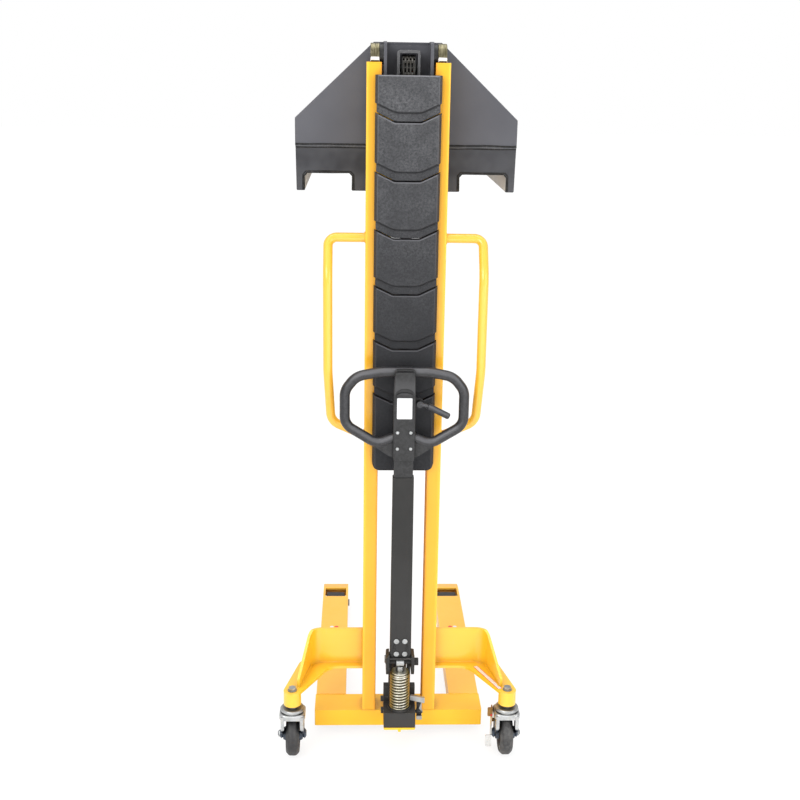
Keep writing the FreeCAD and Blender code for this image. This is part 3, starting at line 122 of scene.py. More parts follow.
# ---------------------------------------------------------------- shader helper
class Shader:
    """Adds and links the nodes of one material."""

    def __init__(self, name):
        self.material = bpy.data.materials.new(name)
        self.material.use_nodes = True
        self.tree = self.material.node_tree
        self.surface = self.tree.nodes["Principled BSDF"]
        self.place = self.tree.nodes.new("ShaderNodeTexCoord").outputs["Object"]

    def node(self, kind, inputs=None, **settings):
        made = self.tree.nodes.new("ShaderNode" + kind)
        for key, value in settings.items():
            setattr(made, key, value)
        for key, value in (inputs or {}).items():
            self.feed(made.inputs[key], value)
        return made

    def feed(self, socket, value):
        if isinstance(value, bpy.types.NodeSocket):
            self.tree.links.new(value, socket)
        elif hasattr(value, "__len__") and len(value) == 3 and socket.type == "RGBA":
            socket.default_value = (*value, 1.0)
        else:
            socket.default_value = value

    def stretched(self, stretch):
        return self.node("Mapping", {"Vector": self.place, "Scale": stretch}).outputs["Vector"]

    def noise(self, scale, detail=4.0, rough=0.5, stretch=(1.0, 1.0, 1.0)):
        made = self.node("TexNoise", {"Vector": self.stretched(stretch), "Scale": scale,
                                      "Detail": detail, "Roughness": rough})
        return made.outputs["Fac"]

    def cells(self, scale, feature="F1", jitter=1.0):
        made = self.node("TexVoronoi", {"Vector": self.place, "Scale": scale, "Randomness": jitter},
                         feature=feature)
        return made.outputs["Distance"]

    def ramp(self, factor, low, high, start=0.0, stop=1.0):
        """Smooth step of a factor between two values, mapped to start..stop."""
        made = self.node("MapRange", {"Value": factor, "From Min": low, "From Max": high,
                                      "To Min": start, "To Max": stop}, interpolation_type="SMOOTHSTEP")
        return made.outputs["Result"]

    def math(self, operation, first, second=0.0):
        return self.node("Math", {0: first, 1: second}, operation=operation).outputs[0]

    def mix(self, factor, first, second):
        made = self.node("Mix", data_type="RGBA")
        self.feed(made.inputs[0], factor)
        self.feed(made.inputs[6], first)
        self.feed(made.inputs[7], second)
        return made.outputs[2]

    def bump(self, height, depth, below=None):
        inputs = {"Height": height, "Distance": depth, "Strength": 1.0}
        if below is not None:
            inputs["Normal"] = below
        return self.node("Bump", inputs).outputs["Normal"]

    def axis(self, name):
        return self.node("SeparateXYZ", {0: self.place}).outputs[name]

    def creases(self, reach, closed=0.45, clear=0.9):
        """1 in tight inner corners, 0 in the open."""
        clearance = self.node("AmbientOcclusion", {"Distance": reach}, samples=6).outputs["AO"]
        return self.ramp(clearance, clear, closed)

    def edges(self, reach):
        """1 on edges that stand out, 0 on flat stretches."""
        rounded = self.node("Bevel", {"Radius": reach}, samples=4).outputs["Normal"]
        flat = self.node("NewGeometry").outputs["Normal"]
        aligned = self.node("VectorMath", {0: rounded, 1: flat}, operation="DOT_PRODUCT").outputs["Value"]
        return self.ramp(aligned, 0.995, 0.9)

    def set(self, **inputs):
        for key, value in inputs.items():
            self.feed(self.surface.inputs[key.replace("_", " ")], value)
        return self


# ---------------------------------------------------------------- materials
def powder_coat(name, colour, shade, primer, gloss=0.4, wear=0.5, crease=0.5, coat=0.25, tint=None):
    """Sprayed paint: orange peel, slow tone drift, light scuffs, painted shade in corners and creases, and
    thin rubbed edges.
    """
    look = Shader(name)
    drift = look.ramp(look.noise(3.5, 3.0), 0.35, 0.7)
    tone = look.mix(drift, colour, shade)
    if tint is not None:
        tone = tint(look, tone)
    # painted shade: corners and creases are darkened where shade falls
    crease_shade = look.math("MULTIPLY", look.creases(0.03), crease)
    tone = look.mix(crease_shade, tone, tuple(0.45 * part for part in colour))
    scuff = look.ramp(look.noise(55.0, 6.0, 0.65, (1.0, 1.0, 0.25)), 0.62, 0.74, 0.0, 0.25)
    rubbed = 0.1 * max(colour)
    tone = look.mix(scuff, tone, tuple(0.8 * part + rubbed for part in colour))
    chipped = look.math("MULTIPLY", look.edges(0.0012), look.ramp(look.noise(140.0, 5.0), 0.5, 0.62))
    tone = look.mix(look.math("MULTIPLY", chipped, wear), tone, primer)
    peel = look.bump(look.noise(420.0, 2.0), 0.00018)
    peel = look.bump(look.noise(18.0, 2.0), 0.0006, peel)
    rough = look.ramp(look.noise(30.0, 4.0), 0.3, 0.7, gloss - 0.05, gloss + 0.07)
    return look.set(Base_Color=tone, Roughness=rough, Normal=peel, Coat_Weight=coat, Coat_Roughness=0.22,
                    Specular_IOR_Level=0.3 + coat).material


def mast_edge_shade_highlight(look, tone):
    """Painted shade and highlight: deeper amber along the inner edge of an upright, where it is
    self-shadowed, paler along its outer edge, where it catches the light.
    """
    across = look.math("ABSOLUTE", look.axis("X"))
    inner = look.math("MULTIPLY", look.ramp(across, 0.078, 0.069), 0.75)
    outer = look.math("MULTIPLY", look.ramp(across, 0.098, 0.108), 0.5)
    tone = look.mix(inner, tone, (0.86, 0.33, 0.008))
    return look.mix(outer, tone, (0.98, 0.62, 0.06))


def cloudy(dark, place):
    """Tint that darkens broad cloudy patches of a plate, strongest round one height."""
    def tint(look, tone):
        low, high = place
        band = look.math("MULTIPLY", look.ramp(look.axis("Z"), low[0], low[1]),
                         look.ramp(look.axis("Z"), high[1], high[0]))
        cloud = look.math("MULTIPLY", look.ramp(look.noise(7.0, 3.0), 0.38, 0.62), band)
        return look.mix(cloud, tone, dark)
    return tint


def guard_plastic():
    """Black moulded plastic with a fine leather grain, a painted reflection that pales it towards the top,
    and painted shade and highlights on creases, slopes and fillets.
    """
    look = Shader("guard_leather_grain")
    # painted reflection: the plastic is paler the higher it stands
    height = look.node("MapRange", {"Value": look.axis("Z"), "From Min": 1.22, "From Max": 2.02})
    height_sheen = height.outputs["Result"]
    base = look.mix(height_sheen, (0.012, 0.0125, 0.015), (0.034, 0.035, 0.039))
    pale = look.mix(height_sheen, (0.024, 0.025, 0.029), (0.165, 0.167, 0.175))
    leather = look.noise(170.0, 9.0, 0.86)
    speck = look.node("MapRange", {"Value": leather, "From Min": 0.40, "From Max": 0.66}).outputs["Result"]
    patch = look.ramp(look.noise(14.0, 5.0, 0.6), 0.35, 0.65, 0.55, 1.0)
    tone = look.mix(look.math("MULTIPLY", speck, patch), base, pale)
    # painted shade in creases
    shade = look.math("MULTIPLY", look.creases(0.03, 0.5, 0.92), 0.85)
    tone = look.mix(shade, tone, (0.006, 0.006, 0.007))
    facing = look.node("SeparateXYZ", {0: look.node("NewGeometry").outputs["True Normal"]}).outputs
    rim = look.math("MULTIPLY", look.ramp(facing["Y"], -0.985, -0.93), look.ramp(facing["Y"], -0.46, -0.6))
    # painted shade on the side slopes, which face away from the light
    side = look.math("MULTIPLY", look.ramp(facing["Y"], -0.50, -0.42), 0.6)
    tone = look.mix(side, tone, (0.010, 0.010, 0.011))
    # painted highlight on edge fillets not facing down, painted shade on those facing down
    lit = look.math("MULTIPLY", rim, look.ramp(facing["Z"], -0.1, 0.4, 0.3, 1.0))
    rim_shade = look.math("MULTIPLY", rim, look.ramp(facing["Z"], -0.12, -0.35))
    # painted highlight tone for the edge fillets, paler higher up
    rim_highlight_tone = look.mix(height_sheen, (0.07, 0.07, 0.078), (0.20, 0.20, 0.215))
    tone = look.mix(look.math("MULTIPLY", lit, 0.8), tone, rim_highlight_tone)
    tone = look.mix(look.math("MULTIPLY", rim_shade, 0.8), tone, (0.008, 0.008, 0.009))
    normal = look.bump(look.ramp(look.cells(330.0, "DISTANCE_TO_EDGE"), 0.0, 0.3), 0.0003)
    normal = look.bump(leather, 0.0008, normal)
    rough = look.ramp(look.noise(900.0, 3.0), 0.3, 0.7, 0.5, 0.64)
    return look.set(Base_Color=tone, Roughness=rough, Normal=normal, Specular_IOR_Level=0.35).material


def moulded_black(name, colour, rough_level, tint=None, mottle=0.35):
    """Glass-filled plastic with a fine spark-eroded texture, painted shade in creases and a painted
    highlight along its edges.
    """
    look = Shader(name)
    grit = look.noise(1100.0, 3.0, 0.7)
    cloud = look.ramp(look.noise(120.0, 6.0, 0.7), 0.38, 0.64)
    tone = look.mix(cloud, colour, tuple(part * (1.0 + mottle) for part in colour))
    if tint is not None:
        tone = tint(look, tone)
    # painted shade: creases darkened to 0.3 of the colour
    tone = look.mix(look.creases(0.02, 0.5, 0.92), tone, tuple(part * 0.3 for part in colour))
    # painted highlight: every edge made up to three times paler
    edge_highlight = look.math("MULTIPLY", look.edges(0.0015), 0.6)
    tone = look.mix(edge_highlight, tone, tuple(part * 3.0 for part in colour))
    rough = look.ramp(grit, 0.3, 0.7, rough_level - 0.05, rough_level + 0.1)
    return look.set(Base_Color=tone, Roughness=rough, Normal=look.bump(grit, 0.00025),
                    Specular_IOR_Level=0.4).material


def hood_highlight(look, tone):
    """Painted highlight: paler where the hood of the tiller head bulges out over the label."""
    above = look.ramp(look.axis("Z"), 1.142, 1.108)
    fade = look.math("MULTIPLY", above, look.ramp(look.axis("Z"), 1.084, 1.096))
    return look.mix(fade, tone, (0.048, 0.048, 0.050))


def grip_shine(look, tone):
    """Painted highlight: paler ridge along the side of the grip that faces the operator and up."""
    facing = look.node("SeparateXYZ", {0: look.node("NewGeometry").outputs["Normal"]}).outputs
    lean = look.math("MULTIPLY", facing["Z"], 0.55)
    lean = look.math("SUBTRACT", lean, look.math("MULTIPLY", facing["Y"], 0.83))
    ridge = look.math("MULTIPLY", look.ramp(lean, 0.80, 0.985), 0.85)
    return look.mix(ridge, tone, (0.10, 0.10, 0.107))


def plated_steel(name, bright, dull, tint, rough_level, brush=(1.0, 1.0, 1.0), over=None):
    """Zinc or ground steel: fine brushing, cloudy passivation, small dark pits and painted shade in creases.
    """
    look = Shader(name)
    cloud = look.ramp(look.noise(28.0, 5.0, 0.6), 0.35, 0.68)
    tone = look.mix(cloud, bright, dull)
    iris = look.ramp(look.noise(60.0, 3.0), 0.5, 0.75, 0.0, 0.45)
    tone = look.mix(iris, tone, tint)
    pits = look.ramp(look.noise(300.0, 6.0, 0.7), 0.66, 0.74, 0.0, 0.6)
    tone = look.mix(pits, tone, tuple(part * 0.3 for part in dull))
    # painted shade: creases darkened to a quarter of the dull tone
    crease_shade = look.math("MULTIPLY", look.creases(0.015), 0.7)
    tone = look.mix(crease_shade, tone, tuple(part * 0.25 for part in dull))
    if over is not None:
        tone = over(look, tone)
    lines = look.noise(700.0, 3.0, 0.5, brush)
    rough = look.ramp(lines, 0.25, 0.75, rough_level - 0.08, rough_level + 0.1)
    return look.set(Base_Color=tone, Metallic=0.92, Roughness=rough,
                    Normal=look.bump(lines, 0.00008)).material


def dark_legs(look, tone):
    """Castor fork below the crown, painted the dark blue of the thread guards."""
    return look.mix(look.ramp(look.axis("Z"), 0.104, 0.098), tone, GUARD_BLUE)


def passivated_flanks_silver_highlight(look, tone):
    """Yellow passivation on the flanks of the spring; the silver along its middle is a painted highlight."""
    flank = look.ramp(look.math("ABSOLUTE", look.axis("X")), 0.012, 0.023)
    return look.mix(flank, tone, (0.46, 0.37, 0.15))


def roller_steel():
    """Oiled ground steel with a painted reflection: a near-white band where it would mirror the bright top
    edge of the mast below it.
    """
    look = Shader("roller_steel")
    streak = look.ramp(look.noise(260.0, 5.0, 0.7, (1.0, 0.12, 0.12)), 0.3, 0.7)
    tone = look.mix(streak, (0.085, 0.075, 0.035), (0.30, 0.27, 0.17))
    cloud = look.ramp(look.noise(70.0, 4.0), 0.4, 0.7, 0.0, 0.6)
    tone = look.mix(cloud, tone, (0.05, 0.045, 0.03))
    # painted reflection: faces tilted a little downward are set near white and less metallic
    facing = look.node("SeparateXYZ", {0: look.node("NewGeometry").outputs["Normal"]}).outputs["Z"]
    glint = look.math("MULTIPLY", look.ramp(facing, -0.16, -0.24), look.ramp(facing, -0.52, -0.44))
    tone = look.mix(glint, tone, (0.92, 0.92, 0.93))
    metal = look.ramp(glint, 0.0, 0.6, 0.85, 0.0)
    return look.set(Base_Color=tone, Metallic=metal, Roughness=0.38,
                    Normal=look.bump(streak, 0.00006)).material


def rubber(name, dusty):
    """Tyre rubber: mould lines round the tread, matt, with pale dust and painted shade in creases."""
    look = Shader(name)
    dust = look.ramp(look.noise(45.0, 6.0, 0.65), 0.35, 0.75, 0.0, dusty)
    tone = look.mix(dust, (0.020, 0.020, 0.022), (0.10, 0.097, 0.093))
    line = look.math("SINE", look.math("MULTIPLY", look.axis("X"), 1700.0))
    grooves = look.ramp(line, 0.2, 0.9, 0.0, 0.25 + 0.3 * dusty)
    tone = look.mix(grooves, tone, (0.11, 0.107, 0.102))
    # painted shade: creases darkened to near black
    tone = look.mix(look.creases(0.02), tone, (0.006, 0.006, 0.006))
    normal = look.bump(look.noise(500.0, 4.0), 0.0003)
    normal = look.bump(line, 0.0002, normal)
    return look.set(Base_Color=tone, Roughness=0.48, Normal=normal, Specular_IOR_Level=0.4).material


def plain_label(name, paper, stain):
    """Smooth printed film with slight unevenness."""
    look = Shader(name)
    tone = look.mix(look.ramp(look.noise(90.0, 4.0), 0.45, 0.8, 0.0, 0.5), paper, stain)
    return look.set(Base_Color=tone, Roughness=0.32, Coat_Weight=0.3,
                    Normal=look.bump(look.noise(250.0, 2.0), 0.00006)).material


def floor_material():
    """Matt white backdrop that the camera sees nearly as bright as the background."""
    look = Shader("floor")
    tone = look.mix(look.ramp(look.noise(2.0, 4.0), 0.3, 0.8), (0.82, 0.82, 0.82), (0.78, 0.78, 0.785))
    seen = look.node("LightPath").outputs["Is Camera Ray"]
    tone = look.mix(look.math("MULTIPLY", seen, 0.8), tone, (0.05, 0.05, 0.05))
    return look.set(Base_Color=tone, Roughness=0.9, Specular_IOR_Level=0.1, Emission_Color=(1.0, 1.0, 1.0),
                    Emission_Strength=look.math("MULTIPLY", seen, 0.82)).material


def yellow_paints():
    """One amber powder coat, a little deeper on the mast and paler on the low parts."""
    chips = (0.75, 0.62, 0.40)
    yellow, amber = (0.93, 0.50, 0.008), (0.93, 0.53, 0.014)
    mast, mast_shade = (0.92, 0.435, 0.006), (0.93, 0.46, 0.010)
    leg, leg_shade = (0.93, 0.465, 0.024), (0.93, 0.49, 0.034)
    plate, plate_shade = (0.93, 0.51, 0.016), (0.93, 0.53, 0.026)
    return {
        "yellow_paint": powder_coat("amber_powder_coat", yellow, amber, chips, 0.36, 0.35),
        "mast_paint": powder_coat("mast_powder_coat", mast, mast_shade, chips, 0.36, 0.35, tint=mast_edge_shade_highlight),
        "leg_paint": powder_coat("leg_powder_coat", leg, leg_shade, chips, 0.34, 0.35, coat=0.5),
        "outrigger_paint": powder_coat("outrigger_powder_coat", plate, plate_shade, chips,
                                       0.34, 0.35, coat=0.5),
        "yellow_weld": powder_coat("painted_weld", (0.88, 0.42, 0.008), yellow, (0.7, 0.5, 0.3), 0.42),
    }


def dark_paints():
    """Slate carriage paint, black paint of tiller and pump, and the pale beige inside the forks."""
    chips, dark_chips = (0.30, 0.29, 0.28), (0.22, 0.20, 0.17)
    slate, slate_shade = (0.074, 0.075, 0.087), (0.094, 0.096, 0.110)
    heel, heel_shade = (0.044, 0.045, 0.051), (0.054, 0.055, 0.062)
    yoke, yoke_shade = (0.085, 0.086, 0.090), (0.11, 0.11, 0.115)
    primer, primer_shade = (0.42, 0.39, 0.35), (0.52, 0.49, 0.45)
    black, black_shade = (0.021, 0.0205, 0.0195), (0.031, 0.030, 0.029)
    pump, pump_shade = (0.031, 0.030, 0.029), (0.041, 0.039, 0.037)
    core, core_shade = (0.10, 0.10, 0.11), (0.13, 0.13, 0.14)
    bead_slate, bead_slate_shade = (0.050, 0.051, 0.056), (0.070, 0.071, 0.078)
    bead_dark, bead_dark_shade = (0.008, 0.008, 0.008), (0.016, 0.016, 0.015)
    clouds = cloudy((0.014, 0.014, 0.018), ((1.63, 1.67), (1.70, 1.73)))
    return {
        "carriage_paint": powder_coat("slate_powder_coat", slate, slate_shade, chips, 0.45, 0.8, coat=0.1),
        "heel_paint": powder_coat("heel_powder_coat", heel, heel_shade, chips, 0.45, 0.8, coat=0.1,
                                  tint=clouds),
        "yoke_paint": powder_coat("yoke_powder_coat", yoke, yoke_shade, (0.4, 0.4, 0.4), 0.4, 1.0, coat=0.1),
        "fork_inside": powder_coat("fork_inside_pale", primer, primer_shade, chips, 0.6, coat=0.0),
        "black_paint": powder_coat("black_powder_coat", black, black_shade, dark_chips, 0.5, 0.8, coat=0.0),
        "pump_paint": powder_coat("pump_black", pump, pump_shade, dark_chips, 0.5, 0.8, coat=0.0),
        "wheel_core": powder_coat("core_paint", core, core_shade, (0.3, 0.3, 0.3), 0.5),
        "slate_weld": powder_coat("slate_weld", bead_slate, bead_slate_shade, chips, 0.45, coat=0.1),
        "dark_weld_shade": powder_coat("dark_weld_shade", bead_dark, bead_dark_shade, (0.10, 0.09, 0.08), 0.55,
                                 coat=0.0),
    }


def plastics():
    return {
        "guard_plastic": guard_plastic(),
        "moulded_black": moulded_black("moulded_black", (0.026, 0.026, 0.028), 0.42),
        "head_plastic": moulded_black("head_plastic", (0.0150, 0.0150, 0.0155), 0.45, hood_highlight, 0.9),
        "grip_plastic": moulded_black("grip_plastic", (0.022, 0.022, 0.024), 0.3, grip_shine, 0.6),
        "black_steel": moulded_black("black_oxide", (0.012, 0.012, 0.012), 0.4),
        "roller_polymer": moulded_black("roller_polymer", (0.025, 0.025, 0.027), 0.32),
        "thread_guard": moulded_black("thread_guard", GUARD_BLUE, 0.38),
        "tyre_rubber": rubber("tyre_rubber", 0.3),
        "dusty_rubber": rubber("dusty_tyre_rubber", 1.0),
        "label": plain_label("label_film", (0.72, 0.72, 0.73), (0.50, 0.51, 0.53)),
        "red_film": plain_label("red_film", (0.70, 0.02, 0.03), (0.60, 0.02, 0.03)),
    }


def metals():
    """Each metal has a bright tone, a dull one and the tint of its passivation."""
    zinc = (0.50, 0.51, 0.51), (0.34, 0.35, 0.35), (0.44, 0.46, 0.44)
    fork_zinc = (0.60, 0.61, 0.61), (0.42, 0.43, 0.43), (0.50, 0.49, 0.40)
    pale_zinc = (0.90, 0.91, 0.90), (0.80, 0.81, 0.80), (0.82, 0.84, 0.80)
    bronze_zinc = (0.40, 0.22, 0.07), (0.26, 0.14, 0.05), (0.62, 0.40, 0.16)
    chrome = (0.86, 0.86, 0.88), (0.80, 0.80, 0.82), (0.82, 0.84, 0.88)
    spring = (0.74, 0.72, 0.64), (0.60, 0.55, 0.40), (0.74, 0.66, 0.40)
    chain = (0.13, 0.125, 0.115), (0.05, 0.047, 0.043), (0.10, 0.09, 0.07)
    return {
        "zinc": plated_steel("zinc_plate", *zinc, 0.36),
        "fork_zinc": plated_steel("fork_zinc", *fork_zinc, 0.36, over=dark_legs),
        "pale_zinc": plated_steel("pale_zinc", *pale_zinc, 0.3),
        "brake_zinc": plated_steel("bronze_zinc", *bronze_zinc, 0.42),
        "bright_steel": roller_steel(),
        "chrome": plated_steel("hard_chrome", *chrome, 0.1, (1.0, 1.0, 0.1)),
        "spring_steel": plated_steel("spring_wire", *spring, 0.3, over=passivated_flanks_silver_highlight),
        "chain_steel": plated_steel("chain_steel", *chain, 0.34),
    }


# ---------------------------------------------------------------- CAD nodes
def soften(node, width, segments=2):
    """Rounds the sharp edges of a CAD node and shades it smoothly, without touching its mesh."""
    weld = node.modifiers.new("weld", "WELD")
    weld.merge_threshold = 1e-5
    bevel = node.modifiers.new("edge_round", "BEVEL")
    bevel.width = width
    bevel.segments = segments
    bevel.limit_method = "ANGLE"
    bevel.angle_limit = math.radians(32)
    bevel.use_clamp_overlap = True
    bevel.harden_normals = False
    for polygon in node.data.polygons:
        polygon.use_smooth = True
    node.modifiers.new("normals", "WEIGHTED_NORMAL")


OTHER_LOOKS = {"heel_plate": "heel_paint", "ram_yoke": "yoke_paint", "chain_pulley": "black_steel",
               "pulley_pin": "black_steel", "guard_screws": "guard_plastic", "pump_body": "pump_paint",
               "right_castor_tyre": "dusty_rubber", "tiller_head": "head_plastic",
               "handle_loop": "grip_plastic", "control_lever": "grip_plastic"}
for each_side in ("left_", "right_"):
    OTHER_LOOKS[each_side + "upright"] = "mast_paint"
    OTHER_LOOKS[each_side + "castor_fork"] = "fork_zinc"
    OTHER_LOOKS[each_side + "leg"] = OTHER_LOOKS[each_side + "side_handle"] = "leg_paint"
    OTHER_LOOKS[each_side + "outrigger"] = "outrigger_paint"


def dress_cad_nodes(materials):
    slots = {row["node"]: row["material_slot"] for row in frame["record"]["subparts"]}
    for name, node in NODES.items():
        slot = slots[name]
        node.data.materials.clear()
        node.data.materials.append(materials[OTHER_LOOKS.get(name, slot)])
        soften(node, EDGE_ROUNDS.get(slot, EDGE_ROUND) * MM)


def repaint(name, material, chosen):
    """Gives another look to the faces of a CAD node whose centres, in millimetres, are chosen."""
    mesh = NODES[name].data
    mesh.materials.append(material)
    index = len(mesh.materials) - 1
    for polygon in mesh.polygons:
        if chosen(*measured(polygon.center)):
            polygon.material_index = index


def repaint_details(materials):
    """Parts of a CAD piece that carry another finish than the rest of it."""
    wheel_x = (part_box("right_castor_core")[0].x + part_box("right_castor_core")[1].x) / 2 / MM
    stub_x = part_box("carriage_frame")[1].x / MM - STUB_LENGTH
    dish_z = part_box("pump_spring")[1].z / MM
    fork_low, fork_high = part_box("right_fork")
    inner, outer = fork_low.x / MM + FORK_WALL, fork_high.x / MM - FORK_WALL
    roof = fork_high.z / MM - FORK_WALL + 0.5
    taper_y = measured(fork_high)[1] - FORK_TAPER
    # painted shade: the roller stubs outside the side plates take the near-black finish, as dark as the
    # shadow beside the rollers
    repaint("carriage_frame", materials["black_steel"], lambda x, y, z: abs(x) > stub_x + 0.3)
    for side in ("left", "right"):
        repaint(side + "_castor_axle", materials["thread_guard"],
                lambda x, y, z: abs(abs(x) - wheel_x) < THREAD_GUARD_HALF)
        repaint(side + "_fork", materials["fork_inside"],
                lambda x, y, z: inner - 0.4 < abs(x) < outer + 0.4 and z < roof and y < taper_y)
    repaint("brake_rocker", materials["pale_zinc"], lambda x, y, z: z < BRAKE_MIDDLE_Z)
    repaint("pump_plunger", materials["spring_steel"], lambda x, y, z: z > dish_z - 1)
    repaint("pump_plunger", materials["zinc"], lambda x, y, z: z > dish_z + 5)
    repaint("valve_lever", materials["black_steel"],
            lambda x, y, z: VALVE_PLATE_Z[0] < z < VALVE_PLATE_Z[1] and x < VALVE_PLATE_X)


# ---------------------------------------------------------------- added pieces
class Build:
    """Collects the vertices and faces of one added piece."""

    def __init__(self):
        self.places, self.faces = [], []

    def prism(self, outline, push):
        """Closed outline pushed along a vector, with both ends capped."""
        first, count = len(self.places), len(outline)
        self.places += [Vector(place) for place in outline]
        self.places += [Vector(place) + push for place in outline]
        self.faces.append([first + index for index in reversed(range(count))])
        self.faces.append([first + count + index for index in range(count)])
        for index in range(count):
            after = (index + 1) % count
            self.faces.append([first + index, first + after, first + count + after, first + count + index])

    def tube(self, path, radii, sides=8):
        """Round bar of changing radius along a path, capped at both ends."""
        first = len(self.places)
        side = (path[1] - path[0]).orthogonal().normalized()
        for index, (place, radius) in enumerate(zip(path, radii)):
            heading = path[min(index + 1, len(path) - 1)] - path[max(index - 1, 0)]
            heading.normalize()
            side = (side - heading * side.dot(heading)).normalized()
            other = heading.cross(side)
            for step in range(sides):
                angle = 2 * math.pi * step / sides
                self.places.append(place + (side * math.cos(angle) + other * math.sin(angle)) * radius)
        for ring in range(len(path) - 1):
            for step in range(sides):
                after = (step + 1) % sides
                low, high = first + ring * sides, first + (ring + 1) * sides
                self.faces.append([low + step, low + after, high + after, high + step])
        last = first + (len(path) - 1) * sides
        self.faces.append([first + step for step in reversed(range(sides))])
        self.faces.append([last + step for step in range(sides)])

    def piece(self, name, material):
        mesh = bpy.data.meshes.new(name)
        mesh.from_pydata([tuple(place) for place in self.places], [], self.faces)
        mesh.materials.append(material)
        cleaner = bmesh.new()
        cleaner.from_mesh(mesh)
        bmesh.ops.recalc_face_normals(cleaner, faces=cleaner.faces)
        cleaner.to_mesh(mesh)
        cleaner.free()
        for polygon in mesh.polygons:
            polygon.use_smooth = True
        mesh.set_sharp_from_angle(angle=math.radians(38))
        made = bpy.data.objects.new(name, mesh)
        bpy.context.scene.collection.objects.link(made)
        return made


# ---- lift chain ----
def link_outline(start, end, tall, x):
    """Figure-of-eight plate round two pins, in the plane x."""
    along = (end - start).normalized()
    across = along.cross(Vector((1, 0, 0)))
    half, waist, steps = tall / 2, 0.36 * tall, 6
    points = []
    for centre, turn in ((end, -0.5), (start, 0.5)):
        for step in range(steps + 1):
            angle = math.pi * (turn + step / steps)
            points.append(centre + along * (math.cos(angle) * half) + across * (math.sin(angle) * half))
        side = 1 if centre is end else -1
        points.append((start + end) / 2 + across * (side * waist))
    return [point + Vector((x, 0, 0)) for point in points]


def chain_piece(name, pins, tall, half_width, material):
    """Leaf chain laced three and four plates to a link, with a pin at every joint."""
    build = Build()
    thick = PLATE_THICK * MM
    pitch_x = (2 * half_width - thick) / 6
    for index in range(len(pins) - 1):
        slots = (-3, -1, 1, 3) if index % 2 == 0 else (-2, 0, 2)
        for slot in slots:
            outline = link_outline(pins[index], pins[index + 1], tall, slot * pitch_x - thick / 2)
            build.prism(outline, Vector((thick, 0, 0)))
    for pin in pins:
        ends = [pin - Vector((half_width, 0, 0)), pin + Vector((half_width, 0, 0))]
        build.tube(ends, [PIN_R * MM] * 2, 10)
    return build.piece(name, material)


def spread(start, end):
    """Pin places along a straight run."""
    count = round((end - start).length / (CHAIN_PITCH * MM))
    return [start.lerp(end, index / count) for index in range(count + 1)]


def make_chain(materials):
    wrap_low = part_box("chain_wrap")[0]
    rear_low, rear_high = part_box("chain_rear_run")
    front_low, front_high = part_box("chain_front_run")
    tall = rear_high.y - rear_low.y
    half_width = rear_high.x
    rear_y, front_y = (rear_low.y + rear_high.y) / 2, (front_low.y + front_high.y) / 2
    middle = Vector((0, (rear_y + front_y) / 2, wrap_low.z))
    radius = (front_y - rear_y) / 2
    count = round(math.pi * radius / (CHAIN_PITCH * MM))
    arc = []
    for index in range(count + 1):
        angle = math.pi * index / count
        arc.append(middle + Vector((0, -math.cos(angle) * radius, math.sin(angle) * radius)))
    steel = materials["chain_steel"]
    wrap = chain_piece("lift_chain_over_pulley", arc, tall, half_width, steel)
    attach(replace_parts(wrap, "chain_wrap"), "ram")
    anchor, top = Vector((0, rear_y, rear_low.z)), Vector((0, rear_y, middle.z))
    rear = chain_piece("lift_chain_to_frame", spread(anchor, top), tall, half_width, steel)
    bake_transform(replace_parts(rear, "chain_rear_run"))
    anchor, top = Vector((0, front_y, front_low.z)), Vector((0, front_y, middle.z))
    front = chain_piece("lift_chain_to_carriage", spread(top, anchor), tall, half_width, steel)
    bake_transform(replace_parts(front, "chain_front_run"))


# ---- return spring of the pump ----
def make_spring(materials):
    """Helical wire with closed end coils."""
    low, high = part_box("pump_spring")
    middle = (low + high) / 2
    wire = SPRING_WIRE_R * MM
    mean = (high.x - low.x) / 2 - wire
    closed = 2 * wire * 1.02
    rise = high.z - low.z - 2 * wire
    steps = 34
    path = []
    for index in range(round(SPRING_TURNS * steps) + 1):
        turn = index / steps
        if turn < 1:
            height = closed * turn
        elif turn > SPRING_TURNS - 1:
            height = rise - closed * (SPRING_TURNS - turn)
        else:
            height = closed + (rise - 2 * closed) * (turn - 1) / (SPRING_TURNS - 2)
        angle = 2 * math.pi * turn
        path.append(Vector((middle.x + mean * math.cos(angle), middle.y + mean * math.sin(angle),
                            low.z + wire + height)))
    build = Build()
    build.tube(path, [wire] * len(path), 10)
    spring = build.piece("return_spring", materials["spring_steel"])
    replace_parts(spring, "pump_spring")
    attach(spring, "frame")
    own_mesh(spring)


# ---- welds ----
def resample(corners, step):
    """Places at an even step along a broken line."""
    path = [corners[0]]
    for start, end in zip(corners, corners[1:]):
        count = max(1, round((end - start).length / step))
        path += [start.lerp(end, index / count) for index in range(1, count + 1)]
    return path


def bead(build, corners, radius):
    """One run of weld: rippled along its length and slightly uneven."""
    path = resample([at(*corner) for corner in corners], BEAD_STEP * MM)
    phase, sway = RANDOM.uniform(0, 6), RANDOM.uniform(0.25, 0.5)
    radii, line = [], []
    for index, place in enumerate(path):
        run = index * BEAD_STEP
        ripple = 0.88 + 0.14 * abs(math.sin(math.pi * run / BEAD_RIPPLE + phase))
        swell = 1.0 + 0.16 * math.sin(run / 17.0 + phase) + RANDOM.uniform(-0.05, 0.05)
        radii.append(radius * MM * ripple * swell)
        drift = sway * radius * MM * math.sin(run / 23.0 + 2 * phase)
        line.append(place + Vector((0, 0, drift * 0.5)))
    build.tube(line, radii, 8)


def ring_in_x(x, y, z, radii, steps=24):
    """Closed ring of corners in a plane across X."""
    corners = []
    for index in range(steps + 1):
        angle = 2 * math.pi * index / steps
        corners.append((x, y + radii[0] * math.cos(angle), z + radii[1] * math.sin(angle)))
    return corners


